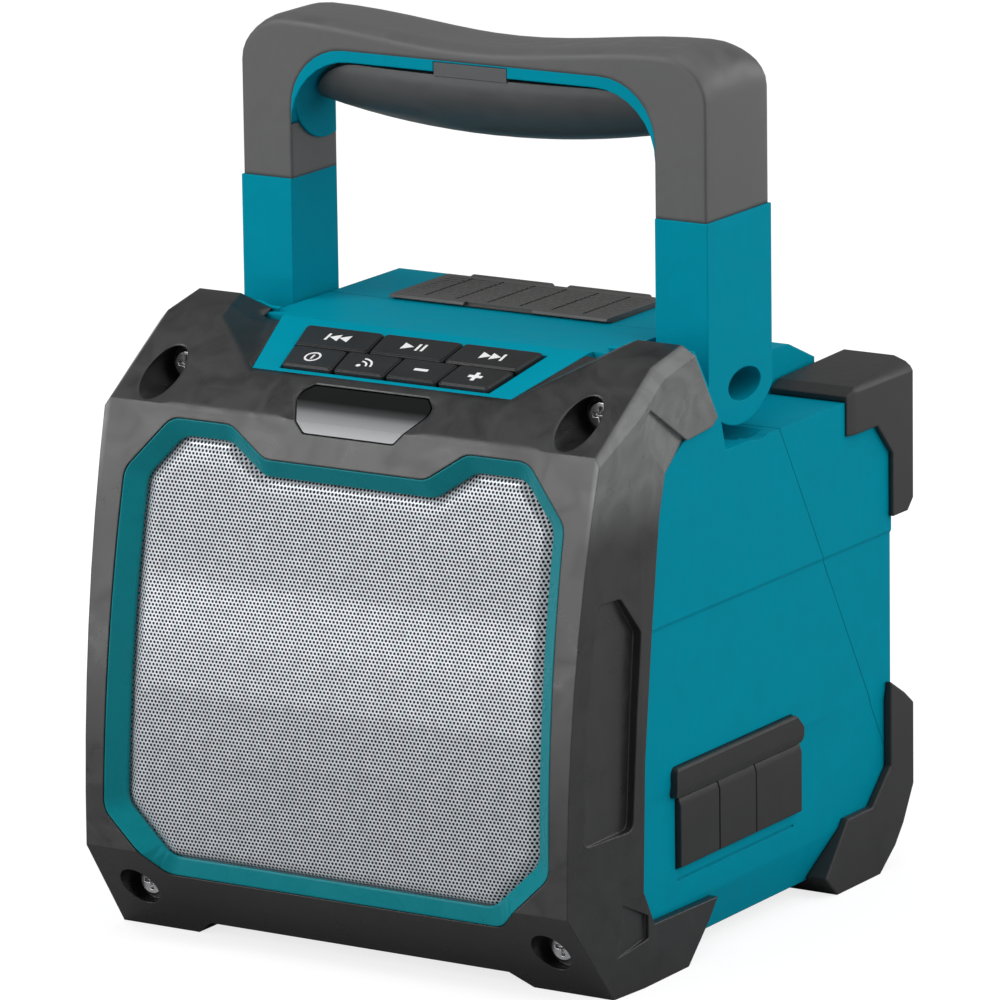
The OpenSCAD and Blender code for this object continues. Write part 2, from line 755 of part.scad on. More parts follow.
module body_shell() {
    difference() {
        union() {
            difference() {
                body_outer();
                body_cavity(0);
            }
            intersection() {
                body_outer();
                frame_screw_places() rotate([90, 0, 0]) translate([0, 0, -17])
                    cylinder(h = 50, r = boss_r + 3);
            }
            both_sides() for (z = housing_screw_z)
                peg_y(parting_y(z) - 14, rear_y - wall, housing_screw_x, z, screw_boss_r);
            both_sides() peg_x(bush_in, deck_half + 1.5, pivot_y, pivot_z, bush_r + 3);
            on_panel() for (p = board_post, side = [-1, 1])
                translate([side * p[0], p[1], -board_top]) cylinder(h = board_top - wall + 1, r = post_r);
            for (x = [main_board_at[0][0] + board_corner, main_board_at[1][0] - board_corner])
                for (y = [main_board_at[0][1] + board_corner, main_board_at[1][1] - board_corner])
                    translate([x, y, base_z + 1]) cylinder(h = main_board_z - base_z - 1, r = 3.5);
            for (p = io_posts) peg_x(io_board_x + board_t, side_inner + 1, p[0], p[1], 2.5);
            intersection() {
                body_outer();
                box([-lid_half - 5, bay_back + bay_wall + 0.3, deck_z - 10],
                    [lid_half + 5, lid_y + 10, deck_z]);
            }
        }
        intersection() {
            along_y(-far, 0) polygon(bezel_path(bezel_lip + 1));
            front_of_baffle();
        }
        intersection() {
            along_y(-far, 0) polygon(bezel_path(-fit));
            along_x(-far, far) polygon(front_band(-far, grille_back + 0.1));
        }
        on_baffle(0, woofer_z) {
            woofer_hole();
            woofer_screw_places() translate([0, 0, -12]) cylinder(h = 20, r = 1.5);
        }
        on_baffle(tweeter_x, tweeter_z) translate([0, 0, -20]) cylinder(h = 40, r = tweeter_d / 2 - 3.7);
        frame_screw_places() rotate([90, 0, 0]) {
            translate([0, 0, -seat_t - fit]) cylinder(h = 80, r = boss_r + 0.3);
            translate([0, 0, -seat_t - 11]) cylinder(h = 20, r = 2.1);
        }
        both_sides() {
            for (z = housing_screw_z) {
                peg_y(parting_y(z) + 12, far, housing_screw_x, z, 3.3);
                peg_y(parting_y(z) - 12, parting_y(z) + 20, housing_screw_x, z, 1.6);
            }
            peg_x(bush_in - 1, deck_half + 4, pivot_y, pivot_z, bush_r + 0.1);
        }
        on_panel() {
            translate([0, 0, -wall - 1]) linear_extrude(20) polygon(pad_outline);
            translate([0, 0, -pocket_deep]) linear_extrude(pocket_deep - wall) polygon(pocket_outline);
        }
        both_sides() peg_x(deck_half - 1.4, deck_half + 1, pivot_y + 26, pivot_z + 2, 4.2);
        box([-bay_half, bay_front, deck_z - 20], [bay_half, bay_back, far]);
        box([-lid_half - 0.4, lid_front + 3, lid_low - 0.3], [lid_half + 0.4, lid_y + knuckle_r + 0.5, far]);
        peg_x(-lid_half - 0.4, lid_half + 0.4, lid_y, lid_axis_z, knuckle_r + 0.5);
        box([-lid_half - 3, lid_y + knuckle_r - 1, deck_z - 4], [lid_half + 3, far, far]);
        peg_x(-lid_half - 4, lid_half + 4, lid_y, lid_axis_z, lid_pin_d / 2 + 0.05);
        box([pocket_x, port_ends[0] - 0.3, flap_lo - 0.6], [far, port_ends[3] + 0.3, flap_hi + 1]);
        along_x(pocket_x, far) polygon(inset(strip_outline, -0.25));
        box([low_half - 0.5, port_ends[0] + 1, flap_lo - 5], [far, port_ends[3] - 3, flap_lo - 4.2]);
        box([side_inner - 3, port_y[0] - 6.8, port_z - 3.2], [far, port_y[0] + 6.8, port_z + 3.2]);
        peg_x(side_inner - 3, far, port_y[1], port_z, 3.4);
        peg_x(side_inner - 3, far, port_y[2], port_z, 4.6);
    }
}

module front_housing() { color("darkcyan") difference() { body_shell(); behind_parting(0); } }
module rear_housing() { color("darkcyan") intersection() { body_shell(); behind_parting(fit); } }

module case_seal() {
    color("black") difference() {
        intersection() {
            difference() {
                body_cavity(0.1);
                body_cavity(2.6);
            }
            behind_parting(-1.5);
        }
        behind_parting(1.5);
        both_sides() {
            for (z = housing_screw_z) peg_y(-far, far, housing_screw_x, z, screw_boss_r + 0.2);
            peg_x(bush_in - 1, far, pivot_y, pivot_z, bush_r + 3.2);
        }
    }
}

module housing_screws() {
    color("gray") both_sides() for (z = housing_screw_z) difference() {
        union() {
            peg_y(parting_y(z) + 12, parting_y(z) + 15, housing_screw_x, z, 3);
            peg_y(parting_y(z) - 11, parting_y(z) + 12, housing_screw_x, z, 1.5);
        }
        for (s = [[1.8, 0.4], [0.4, 1.8]])
            box([housing_screw_x - s[0], parting_y(z) + 13.5, z - s[1]],
                [housing_screw_x + s[0], far, z + s[1]]);
    }
}

// Keys

function key_corner(f, v, side) = [f * pad_half(v) + side * key_gap / 2, pad_margin + v];
function key_outline(f0, f1, v0) = [
    key_corner(f0, v0, 1),
    key_corner(f1, v0, -1),
    key_corner(f1, v0 + key_h, -1),
    key_corner(f0, v0 + key_h, 1)
];
function key_middle(f0, f1, v0) =
    [(f0 + f1) / 2 * pad_half(v0 + key_h / 2), pad_margin + v0 + key_h / 2];
row_two = key_h + key_gap;
key_places = [
    [-1, -1 / 3, row_two],
    [-1 / 3, 1 / 3, row_two],
    [1 / 3, 1, row_two],
    [-1, -0.5, 0],
    [-0.5, 0, 0],
    [0, 0.5, 0],
    [0.5, 1, 0]
];

module key(i) {
    k = key_places[i];
    middle = key_middle(k[0], k[1], k[2]);
    color("black") on_panel() {
        translate([0, 0, -key_foot]) linear_extrude(key_foot + key_proud - 0.5)
            polygon(rounded(key_outline(k[0], k[1], k[2]), 1.2, 3));
        translate([0, 0, key_proud - 0.6]) linear_extrude(0.6)
            polygon(rounded(inset(key_outline(k[0], k[1], k[2]), 0.5), 1.2, 3));
        translate([middle[0], middle[1], -plunger_end]) cylinder(h = plunger_end - 1, r = 2);
    }
}
module button_previous() { key(0); }
module button_play_pause() { key(1); }
module button_next() { key(2); }
module button_power() { key(3); }
module button_wireless() { key(4); }
module button_volume_down() { key(5); }
module button_volume_up() { key(6); }

module keypad_mat() {
    color("dimgray") on_panel() translate([0, 0, -mat_top - mat_t]) linear_extrude(mat_t) difference() {
        polygon(inset(pocket_outline, 0.4));
        for (k = key_places) translate(key_middle(k[0], k[1], k[2])) circle(r = 2.6);
    }
}
module button_board() {
    color("green") on_panel() translate([0, 0, -board_top - board_t]) linear_extrude(board_t) union() {
        polygon(inset(pocket_outline, 0.6));
        for (p = board_post) translate([-p[0] - 3, p[1] - 3]) square([2 * p[0] + 6, 6]);
    }
}
module tact_switches() {
    color("silver") on_panel() for (k = key_places)
        translate(concat(key_middle(k[0], k[1], k[2]), [-board_top])) {
            translate([-3, -3, 0]) cube([6, 6, 1]);
            cylinder(h = 1.5, r = 1.7);
        }
}

// Carry handle

cover_in = 0.6;
cover_half = arm_out - cover_in;
cover_front = -arm_front + cover_in;
cover_rear = arm_mid + arm_d / 2 - cover_in;
cover_r = 17;
bend_r = 22;
grip_bend_r = bend_r + 2;
end_r = 28;
core_y = [arm_mid - 11, arm_mid + 9];
insert_half = 15;
arc = [for (i = [0:8]) i * 90 / 8];

// Right half of the cover's outer edge: place, direction outwards and share of the rounding
arm_share = 0.06;
cover_edge = concat(
    [[cover_half, seam_z, 0, arm_share], [cover_half, (seam_z + handle_z - cover_r) / 2, 0, arm_share]],
    [for (a = arc) [
        cover_half - cover_r + cover_r * cos(a),
        handle_z - cover_r + cover_r * sin(a),
        a,
        arm_share + (1 - arm_share) * (1 - cos(2 * a)) / 2
    ]],
    [for (i = [1:8]) let (x = 1 - i / 8)
        [x * (cover_half - cover_r), handle_z - handle_sag * (1 + cos(180 * x)) / 2, 90, 1]]
);
function cover_outer(depth) = [for (p = cover_edge)
    let (d = depth * p[3]) [p[0] - d * cos(p[2]), p[1] - d * sin(p[2])]];
cover_inner = concat(
    [[arm_in, seam_z]],
    [for (a = arc) [arm_in - bend_r + bend_r * cos(a), band_z - bend_r + bend_r * sin(a)]]
);
function cover_loop(depth) = concat(
    cover_inner,
    mirrored(cover_inner),
    reversed(mirrored(cover_outer(depth))),
    [for (i = [len(cover_edge) - 2:-1:0]) cover_outer(depth)[i]]
);
front_drop = 3.2;
rear_drop_max = 6;
soft_turns = [for (i = [0:6]) i * 15];
cover_layers = concat(
    [for (t = soft_turns) [cover_front + front_soft * (1 - cos(t)), front_drop * (1 - sin(t))]],
    [for (t = reversed(soft_turns)) [cover_rear - rear_soft * (1 - cos(t)), rear_drop_max * (1 - sin(t))]]
);
module cover_block() {
    loops = [for (c = cover_layers) [for (p = cover_loop(c[1])) [p[0], c[0], p[1]]]];
    count = len(loops[0]);
    last = len(loops) - 1;
    polyhedron(flat(loops), concat(
        [[for (i = [0:count - 1]) i]],
        flat([for (k = [0:last - 1]) ring_faces(k, k + 1, count)]),
        [[for (i = [count - 1:-1:0]) last * count + i]]
    ));
}
module arm_bevels() {
    start = arm_mid + arm_d / 2 - arm_bevel;
    both_sides() linear_extrude(band_z - bend_r / 2) polygon([
        [arm_in - 6, start - 8],
        [arm_in + arm_bevel * 0.75, start + arm_bevel],
        [arm_in + arm_bevel * 0.75, far],
        [arm_in - 6, far]
    ]);
}
function bend_side(half, top, r) = concat(
    [[half, seam_z - 1]],
    [for (a = arc) [half - r + r * cos(a), top - r + r * sin(a)]]
);
module inner_bend(top, r, gap) {
    side = bend_side(arm_in - gap, top - gap, r);
    polygon(concat(side, mirrored(side)));
}
core_side = [
    [arm_in + 4, seam_z - 1],
    [arm_out - 5, seam_z - 1],
    [arm_out - 5, handle_z - cover_r + 8],
    [arm_in + 6, band_z + 3],
    [0, band_z + 3],
    [0, band_z - 0.5],
    [arm_in - 2, band_z - 0.5],
    [arm_in + 4, band_z - 8]
];
module core_shape(gap) {
    for (m = [0, 1]) mirror([m, 0, 0]) along_y(core_y[0] - gap, core_y[1] + gap)
        polygon(inset(core_side, -gap));
}

module arm_profile() {
    intersection() {
        translate([-arm_front, pivot_z - 40]) square([arm_d, seam_z - pivot_z + 40]);
        union() {
            translate([arm_mid, pivot_z - arm_end + end_r]) circle(r = end_r);
            translate([-far / 2, pivot_z - arm_end + end_r]) square([far, far]);
        }
    }
}

module oval(x, y, length, height) {
    polygon([for (a = [0:7.5:359]) [x + length / 2 * cos(a), y + height / 2 * sin(a)]]);
}
module handle_frame() {
    color("darkcyan") difference() {
        union() {
            both_sides() along_x(arm_in, arm_out) arm_profile();
            core_shape(0);
            difference() {
                along_y(cover_front, cover_rear) difference() {
                    inner_bend(band_z, bend_r, 0);
                    inner_bend(band_z - band_t, grip_bend_r, 0);
                }
                box([-insert_half, -far, band_z - band_t - 1], [insert_half, far, band_z - 0.5]);
            }
            intersection() {
                both_sides() peg_x(arm_in - 1, arm_in, arm_mid, band_z - 15, arm_d / 2 - cover_in - 0.4);
                along_y(-far, far) inner_bend(band_z, bend_r, 0);
            }
        }
        arm_bevels();
        both_sides() {
            peg_x(0, far, pivot_y, pivot_z, pivot_d / 2 + 0.05);
            along_x(arm_in + well_floor, far) oval(pivot_y, pivot_z, well_len, well_h);
        }
    }
}

module handle_cover() {
    color("dimgray") difference() {
        cover_block();
        core_shape(fit);
        arm_bevels();
    }
}

grip_r = arm_d / 2 - cover_in - 0.1;
grip_axis_z = band_z - band_t - grip_h + grip_r;
module handle_grip() {
    color("black") union() {
        intersection() {
            translate([0, arm_mid, grip_axis_z]) rotate([0, 90, 0]) rotate_extrude() polygon(concat(
                [[0, -arm_in], [grip_r - 7.5, -arm_in]],
                [for (i = [-8:8]) let (x = i / 8) [grip_r - 7 * x * x, x * (arm_in - 4)]],
                [[grip_r - 7.5, arm_in], [0, arm_in]]
            ));
            along_y(-far, far) inner_bend(band_z - band_t, grip_bend_r, 1.2);
        }
        box([-insert_half + 0.2, cover_front, band_z - band_t - 1.6],
            [insert_half - 0.2, cover_rear, band_z - 0.7]);
    }
}

module handle_pivot_pins() {
    color("silver") both_sides() {
        peg_x(bush_in, arm_in + well_floor, pivot_y, pivot_z, pivot_d / 2);
        difference() {
            peg_x(arm_in + well_floor, arm_in + well_floor + 4, pivot_y, pivot_z, well_h / 2 - 0.5);
            peg_x(arm_in + well_floor + 2, arm_in + well_floor + 5, pivot_y, pivot_z, 2.5);
        }
    }
}
module pivot_bushes() {
    color("white") both_sides() difference() {
        peg_x(bush_in, arm_in - 0.4, pivot_y, pivot_z, bush_r);
        peg_x(bush_in - 1, arm_in, pivot_y, pivot_z, pivot_d / 2 + 0.05);
    }
}

// Battery compartment

knuckles = [[-36, -4], [4, 36]];
module battery_lid() {
    color("dimgray") difference() {
        union() {
            along_x(-lid_half, lid_half) polygon([
                [lid_front + 1.6, deck_z + 0.4],
                [lid_front, deck_z + 0.8],
                [lid_front, lid_top - 0.8],
                [lid_front + 0.8, lid_top],
                [lid_y - 3, lid_top],
                [lid_y - 1.5, lid_top - 1.2],
                [lid_y - 3.2, lid_low],
                [lid_front + 3.4, lid_low],
                [lid_front + 3.4, deck_z + 0.4]
            ]);
            for (k = knuckles) {
                peg_x(k[0], k[1], lid_y, lid_axis_z, knuckle_r);
                along_x(k[0], k[1]) polygon([
                    [lid_y - 4, lid_top - 0.6],
                    [lid_y, lid_axis_z + knuckle_r],
                    [lid_y, lid_axis_z],
                    [lid_y - 4, lid_low]
                ]);
            }
        }
        peg_x(-far, far, lid_y, lid_axis_z, lid_pin_d / 2 + 0.05);
        for (i = [0:9]) let (y = lid_front + 7 + i * 3)
            box([-lid_half + 3, y, lid_top - 0.7], [lid_half - 3, y + 0.8, far]);
        for (i = [-2.5:2.5]) box([i * 13 - 0.6, lid_front + 4, lid_top - 1], [i * 13 + 0.6, lid_y - 6, far]);
        box([-14, -far, lid_top - 1.2], [14, lid_front + 2.2, far]);
    }
}
module lid_hinge_pin() {
    color("silver") peg_x(-lid_half - 3.6, lid_half + 3.6, lid_y, lid_axis_z, lid_pin_d / 2);
}

bay_top = deck_z - wall;
bay_floor = bay_top - bay_depth;
bay_mid = (bay_front + bay_back) / 2;
module battery_bay() {
    color("black") difference() {
        union() {
            box([-bay_half - bay_wall, bay_front - bay_wall, bay_floor],
                [bay_half + bay_wall, bay_back + bay_wall, bay_top]);
            box([-bay_half - 8, bay_front - bay_wall, bay_top - 2],
                [bay_half + 8, bay_back + bay_wall, bay_top]);
        }
        box([-bay_half, bay_front, bay_floor + bay_wall], [bay_half, bay_back, far]);
    }
}
block_top = bay_floor + bay_wall + 12;
module terminal_block() {
    color("black") difference() {
        box([-22, bay_mid - 8, bay_floor + bay_wall], [22, bay_mid + 8, block_top]);
        for (x = [-15, -5, 5, 15]) box([x - 3, bay_mid - 4.5, block_top - 8], [x + 3, bay_mid + 4.5, far]);
    }
}
module battery_terminals() {
    color("gold") for (x = [-15, -5, 5, 15])
        box([x - 0.4, bay_mid - 3.5, block_top - 8], [x + 0.4, bay_mid + 3.5, block_top + 5]);
}

// Sockets

module port_strip() {
    color("black") intersection() {
        along_x(pocket_x + 0.2, far) polygon(strip_outline);
        along_y(-far, far) polygon([
            [pocket_x + 0.2, flap_hi],
            [flap_out + 0.1, flap_hi],
            [flap_out + 0.9, flap_hi + 3],
            [flap_out + 0.9, flap_hi + strip_h - 0.8],
            [flap_out + 0.1, flap_hi + strip_h],
            [pocket_x + 0.2, flap_hi + strip_h]
        ]);
    }
}
module flap(i) {
    color("black") union() {
        along_y(port_ends[i] + 0.3, port_ends[i + 1] - 0.3) polygon([
            [flap_out - flap_t, flap_lo],
            [flap_out - 0.6, flap_lo],
            [flap_out, flap_lo + 0.6],
            [flap_out, flap_hi - 3],
            [flap_out - 1, flap_hi - 0.2],
            [flap_out - flap_t, flap_hi - 0.2]
        ]);
        children();
    }
}
plug_x = flap_out - flap_t - plug_len;
module port_flap_usb() {
    flap(0) box([plug_x, port_y[0] - 5.8, port_z - 2.2], [flap_out - 1, port_y[0] + 5.8, port_z + 2.2]);
}
module port_flap_aux() { flap(1) peg_x(plug_x, flap_out - 1, port_y[1], port_z, 2.4); }
module port_flap_dc() { flap(2) peg_x(plug_x, flap_out - 1, port_y[2], port_z, 3.6); }

io_face = io_board_x + board_t;
socket_out = plug_x - 0.6;
module io_board() {
    color("green") box([io_board_x, port_ends[0], flap_lo - 3], [io_face, port_ends[3], flap_hi]);
}
module usb_port() {
    color("silver") difference() {
        box([io_face, port_y[0] - 6.4, port_z - 2.8], [socket_out, port_y[0] + 6.4, port_z + 2.8]);
        difference() {
            box([io_face + 2, port_y[0] - 5.8, port_z - 2.2], [far, port_y[0] + 5.8, port_z + 2.2]);
            box([io_face, port_y[0] - 5.4, port_z + 0.2], [socket_out - 1, port_y[0] + 5.4, port_z + 1.8]);
        }
    }
}
module round_socket(i, half, r, bore) {
    difference() {
        union() {
            box([io_face, port_y[i] - half, port_z - half],
                [side_inner - 3.5, port_y[i] + half, port_z + half]);
            peg_x(io_face, socket_out, port_y[i], port_z, r);
        }
        peg_x(io_face + 2, far, port_y[i], port_z, bore);
    }
}
module aux_jack() { color("black") round_socket(1, 5, 2.9, 1.8); }
module dc_jack() {
    color("black") union() {
        round_socket(2, 6, 4.1, 2.8);
        peg_x(io_face + 1, socket_out - 2, port_y[2], port_z, 1);
    }
}

// Rear bumpers

bumper_y = rear_y + bumper_back;
bumper_x = half_w + bumper_side;
bumper_z = ledge_z + bumper_top;
bumper_start = rear_y - bumper_len;
module body_block() {
    intersection() {
        along_x(-half_w - fit, half_w + fit) polygon(inset(main_outline, fit));
        along_y(-far, far) polygon(inset(concat(side_half_outline, mirrored(side_half_outline)), -fit));
    }
}
module bumper_top_half() {
    color("black") difference() {
        intersection() {
            along_x(deck_half, bumper_x) polygon([
                [bumper_start, bumper_z - 4.3],
                [bumper_start + 5, bumper_z - 1.7],
                [bumper_y, bumper_z + 1.3],
                [bumper_y, bumper_lo + 4],
                [bumper_y - 4, bumper_lo],
                [rear_y - 2, bumper_lo],
                [rear_y - 2, bumper_lo + 23],
                [rear_y - 13, ledge_z - 12],
                [bumper_start, ledge_z - 12]
            ]);
            along_y(-far, far) polygon([
                [0, 0],
                [bumper_x, 0],
                [bumper_x, bumper_z - 3.4],
                [bumper_x - 1, bumper_z - 1.8],
                [bumper_x - 3, bumper_z - 0.3],
                [bumper_x - 8, bumper_z + 1.4],
                [0, bumper_z + 1.4]
            ]);
            linear_extrude(far) polygon([
                [deck_half + 1, bumper_start],
                [bumper_x - 1.2, bumper_start],
                [bumper_x, bumper_start + 5],
                [bumper_x, bumper_y],
                [deck_half + 5, bumper_y]
            ]);
        }
        body_block();
    }
}
module bumper_bottom_half() {
    color("black") difference() {
        along_x(deck_half + 0.3, bumper_x) polygon([
            [rear_y + 6, bumper_hi - 2],
            [bumper_y, bumper_hi - 7],
            [bumper_y, base_z + 22],
            [rear_y + 5, base_z + 9],
            [rear_y - 1, base_z + 2],
            [rear_y - 12, 0],
            [rear_y - 43, 0],
            [rear_y - 51, base_z + 1.5],
            [rear_y - 35, base_z + 20],
            [rear_y - 17, base_z + 20],
            [rear_y - 4, base_z + 32],
            [rear_y - 4, bumper_hi + 4]
        ]);
        body_block();
    }
}
module rear_bumper_top_right() { bumper_top_half(); }
module rear_bumper_top_left() { mirror([1, 0, 0]) bumper_top_half(); }
module rear_bumper_bottom_right() { bumper_bottom_half(); }
module rear_bumper_bottom_left() { mirror([1, 0, 0]) bumper_bottom_half(); }

// Drivers

cone_r = woofer_d / 2 - 14;
rim_r = woofer_d / 2;
roll_z = 2;
roll_r = 2.3;
roll_mid = cone_r + roll_r + 0.3;
function roll(r, i) = [roll_mid + r * cos(i * 22.5), roll_z + r * sin(i * 22.5)];
module turned() { rotate_extrude() children(); }
module woofer_gasket() {
    color("black") on_baffle(0, woofer_z) difference() {
        cylinder(h = 1, r = rim_r);
        translate([0, 0, -1]) cylinder(h = 3, r = rim_r - 6.2);
        woofer_screw_places() translate([0, 0, -1]) cylinder(h = 3, r = 1.7);
    }
}
module woofer_basket() {
    color("dimgray") on_baffle(0, woofer_z) difference() {
        turned() polygon([
            [rim_r, 1], [rim_r, 3.5], [rim_r - 6, 3.5], [rim_r - 6, roll_z], [rim_r - 9.5, roll_z],
            [rim_r - 9.5, 1], [26, -27], [14, -27], [14, -30], [29, -30], [rim_r - 6.5, 0], [rim_r - 6.5, 1]
        ]);
        woofer_screw_places() cylinder(h = 8, r = 1.7);
        for (a = [0:60:300]) rotate([0, 0, a]) box([20, -9, -20], [60, 9, -7]);
    }
}
module woofer_magnet() {
    color("gray") on_baffle(0, woofer_z) turned() polygon([
        [0, -44], [29, -44], [29, -30.1], [11.5, -30.1], [11.5, -41], [9, -41], [9, -26], [0, -26]
    ]);
}
module voice_coil() {
    color("orange") on_baffle(0, woofer_z) translate([0, 0, -36]) difference() {
        cylinder(h = 22, r = 10.7);
        translate([0, 0, -1]) cylinder(h = 24, r = 9.8);
    }
}
module woofer_cone() {
    color("dimgray") on_baffle(0, woofer_z) turned()
        polygon([[10.8, -16], [cone_r, -0.8], [cone_r, 0.4], [10.8, -14.6]]);
}
module woofer_dust_cap() {
    color("dimgray") on_baffle(0, woofer_z) turned() polygon([
        [0, -5.2], [5, -6], [10, -8.6], [13.6, -12.9], [12.4, -12.9], [9.4, -9.4], [4.8, -7], [0, -6.2]
    ]);
}
module woofer_surround() {
    color("black") on_baffle(0, woofer_z) turned() polygon(concat(
        [[rim_r - 6.4, roll_z], [rim_r - 6.4, roll_z + 1]],
        [for (i = [1:8]) roll(roll_r, i)],
        [for (i = [8:-1:0]) roll(roll_r - 0.9, i)]
    ));
}
module woofer_spider() {
    color("goldenrod") on_baffle(0, woofer_z) turned() polygon(concat(
        [for (i = [0:8]) [10.9 + i * 2.1, -22 + (i % 2) * 0.9]],
        [for (i = [8:-1:0]) [10.9 + i * 2.1, -22.6 + (i % 2) * 0.9]]
    ));
}
module woofer_screws() {
    color("gray") on_baffle(0, woofer_z) woofer_screw_places() difference() {
        union() {
            translate([0, 0, -9]) cylinder(h = 12.5, r = 1.4);
            translate([0, 0, 3.5]) cylinder(h = 1.7, r = 2.8);
        }
        for (a = [0, 90]) rotate([0, 0, a]) box([-1.8, -0.4, 4.2], [1.8, 0.4, 9]);
    }
}
module tweeter_body() {
    r = tweeter_d / 2;
    color("dimgray") on_baffle(tweeter_x, tweeter_z) turned()
        polygon([[0, -16], [r - 4, -16], [r - 4, 0], [r, 0], [r, 2.5], [r - 8, 2.5], [r - 8, 1], [0, 1]]);
}
module tweeter_dome() {
    color("silver") on_baffle(tweeter_x, tweeter_z) intersection() {
        translate([0, 0, -8]) sphere(r = 14);
        translate([0, 0, 1]) cylinder(h = 12, r = 12);
    }
}

// Electronics

main_top = main_board_z + board_t;
module main_board() {
    color("green") box(concat(main_board_at[0], [main_board_z]), concat(main_board_at[1], [main_top]));
}
module heat_sink() {
    color("silver") union() {
        box([-50, 22, main_top], [-8, 52, main_top + 4]);
        for (i = [0:6]) box([-50 + i * 6.6, 22, main_top + 3], [-47.6 + i * 6.6, 52, main_top + 16]);
    }
}
module capacitors() {
    color("navy") for (x = [14, 28, 42]) translate([x, 34, main_top]) {
        cylinder(h = 20, r = 5.5);
        cylinder(h = 1.5, r = 6);
    }
}
wire_half = 0.8;
module wire(path) {
    for (i = [0:len(path) - 2]) let (a = path[i], b = path[i + 1])
        box([for (k = [0:2]) min(a[k], b[k]) - wire_half], [for (k = [0:2]) max(a[k], b[k]) + wire_half]);
}
module wiring() {
    start = main_top + wire_half;
    rear = baffle_y(woofer_z, 51);
    over = woofer_z + 16;
    side_y = (main_board_at[0][1] + main_board_at[1][1]) / 2 - 23;
    color("red") {
        wire([[-20, 8, start], [-20, 8, woofer_z - 50], [-20, baffle_y(woofer_z, 34), woofer_z - 50]]);
        wire([[20, 8, start], [20, 8, over], [20, rear, over], [tweeter_x, rear, over]]);
        wire([[tweeter_x, rear, over], [tweeter_x, rear, tweeter_z - 4]]);
        wire([[50, side_y, start], [50, side_y, port_z], [io_board_x - wire_half, side_y, port_z]]);
        wire([[-40, 62, start], [-40, 62, 100], [-20, 62, 100]]);
        wire([[-20, 62, 100], [-20, bay_mid, 100], [-20, bay_mid, bay_floor - wire_half]]);
        wire([[-48, 8, start], [-48, 8, over], [-48, rear, over], [-48, rear, panel_z - 8.4]]);
    }
}

front_housing();
rear_housing();
case_seal();
housing_screws();
front_frame();
frame_screws();
grille_bezel();
grille_mesh();
status_window();
button_previous();
button_play_pause();
button_next();
button_power();
button_wireless();
button_volume_down();
button_volume_up();
keypad_mat();
button_board();
tact_switches();
handle_frame();
handle_cover();
handle_grip();
handle_pivot_pins();
pivot_bushes();
battery_lid();
lid_hinge_pin();
battery_bay();
terminal_block();
battery_terminals();
port_strip();
port_flap_usb();
port_flap_aux();
port_flap_dc();
usb_port();
aux_jack();
dc_jack();
io_board();
rear_bumper_top_left();
rear_bumper_top_right();
rear_bumper_bottom_left();
rear_bumper_bottom_right();
woofer_gasket();
woofer_basket();
woofer_magnet();
woofer_cone();
woofer_surround();
woofer_dust_cap();
woofer_spider();
voice_coil();
woofer_screws();
tweeter_body();
tweeter_dome();
main_board();
heat_sink();
capacitors();
wiring();
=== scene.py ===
"""Looks of the rugged portable speaker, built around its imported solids."""

import json
import math

import bpy
import numpy as np
from mathutils import Matrix, Vector


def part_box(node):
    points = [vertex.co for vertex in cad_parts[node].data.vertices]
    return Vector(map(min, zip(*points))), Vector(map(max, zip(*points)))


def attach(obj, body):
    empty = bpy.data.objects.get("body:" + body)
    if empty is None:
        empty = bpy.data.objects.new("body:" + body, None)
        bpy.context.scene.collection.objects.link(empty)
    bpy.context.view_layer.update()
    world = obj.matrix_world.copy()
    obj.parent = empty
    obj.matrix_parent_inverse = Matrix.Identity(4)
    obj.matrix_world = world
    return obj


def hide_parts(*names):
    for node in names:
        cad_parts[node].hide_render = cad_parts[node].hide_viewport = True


MM = 0.001
KEYS = ("previous", "play_pause", "next", "power", "wireless", "volume_down", "volume_up")

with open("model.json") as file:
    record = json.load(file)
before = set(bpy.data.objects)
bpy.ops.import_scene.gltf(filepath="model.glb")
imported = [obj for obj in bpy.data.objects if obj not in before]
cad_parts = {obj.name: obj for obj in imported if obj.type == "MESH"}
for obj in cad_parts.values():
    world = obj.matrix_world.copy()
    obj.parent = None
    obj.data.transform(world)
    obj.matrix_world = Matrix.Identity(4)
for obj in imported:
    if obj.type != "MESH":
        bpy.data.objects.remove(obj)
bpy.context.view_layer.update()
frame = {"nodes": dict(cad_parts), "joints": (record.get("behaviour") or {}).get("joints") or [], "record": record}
nodes = frame["nodes"]
scene = bpy.context.scene
scene.view_settings.view_transform = "Standard"


# Colours and shader nodes

def linear(r, g, b):
    """A screen colour of 0 to 255 as the linear colour that renders to it."""
    values = []
    for c in (r, g, b):
        c /= 255
        values.append(c / 12.92 if c <= 0.04045 else ((c + 0.055) / 1.055) ** 2.4)
    return (*values, 1)


def grey(level):
    return linear(level, level, level)


def shade(colour, factor):
    """A colour made lighter or darker."""
    return (*(min(1, c * factor) for c in colour[:3]), 1)


def mm(*lengths):
    """Lengths in millimetres as metres."""
    return tuple(length * MM for length in lengths)


def shader(name, roughness, metallic=0.0):
    """A new material, its node tree and its main shader."""
    mat = bpy.data.materials.new(name)
    mat.use_nodes = True
    tree = mat.node_tree
    bsdf = tree.nodes["Principled BSDF"]
    bsdf.inputs["Roughness"].default_value = roughness
    bsdf.inputs["Metallic"].default_value = metallic
    return mat, tree, bsdf


def feed(tree, value, socket):
    """Gives a socket a number or another node's output."""
    if isinstance(value, bpy.types.NodeSocket):
        tree.links.new(value, socket)
    else:
        socket.default_value = value


def calculate(tree, operation, *values):
    """The result of a sum on numbers or other nodes' outputs."""
    node = tree.nodes.new("ShaderNodeMath")
    node.operation = operation
    for value, socket in zip(values, node.inputs):
        feed(tree, value, socket)
    return node.outputs["Value"]


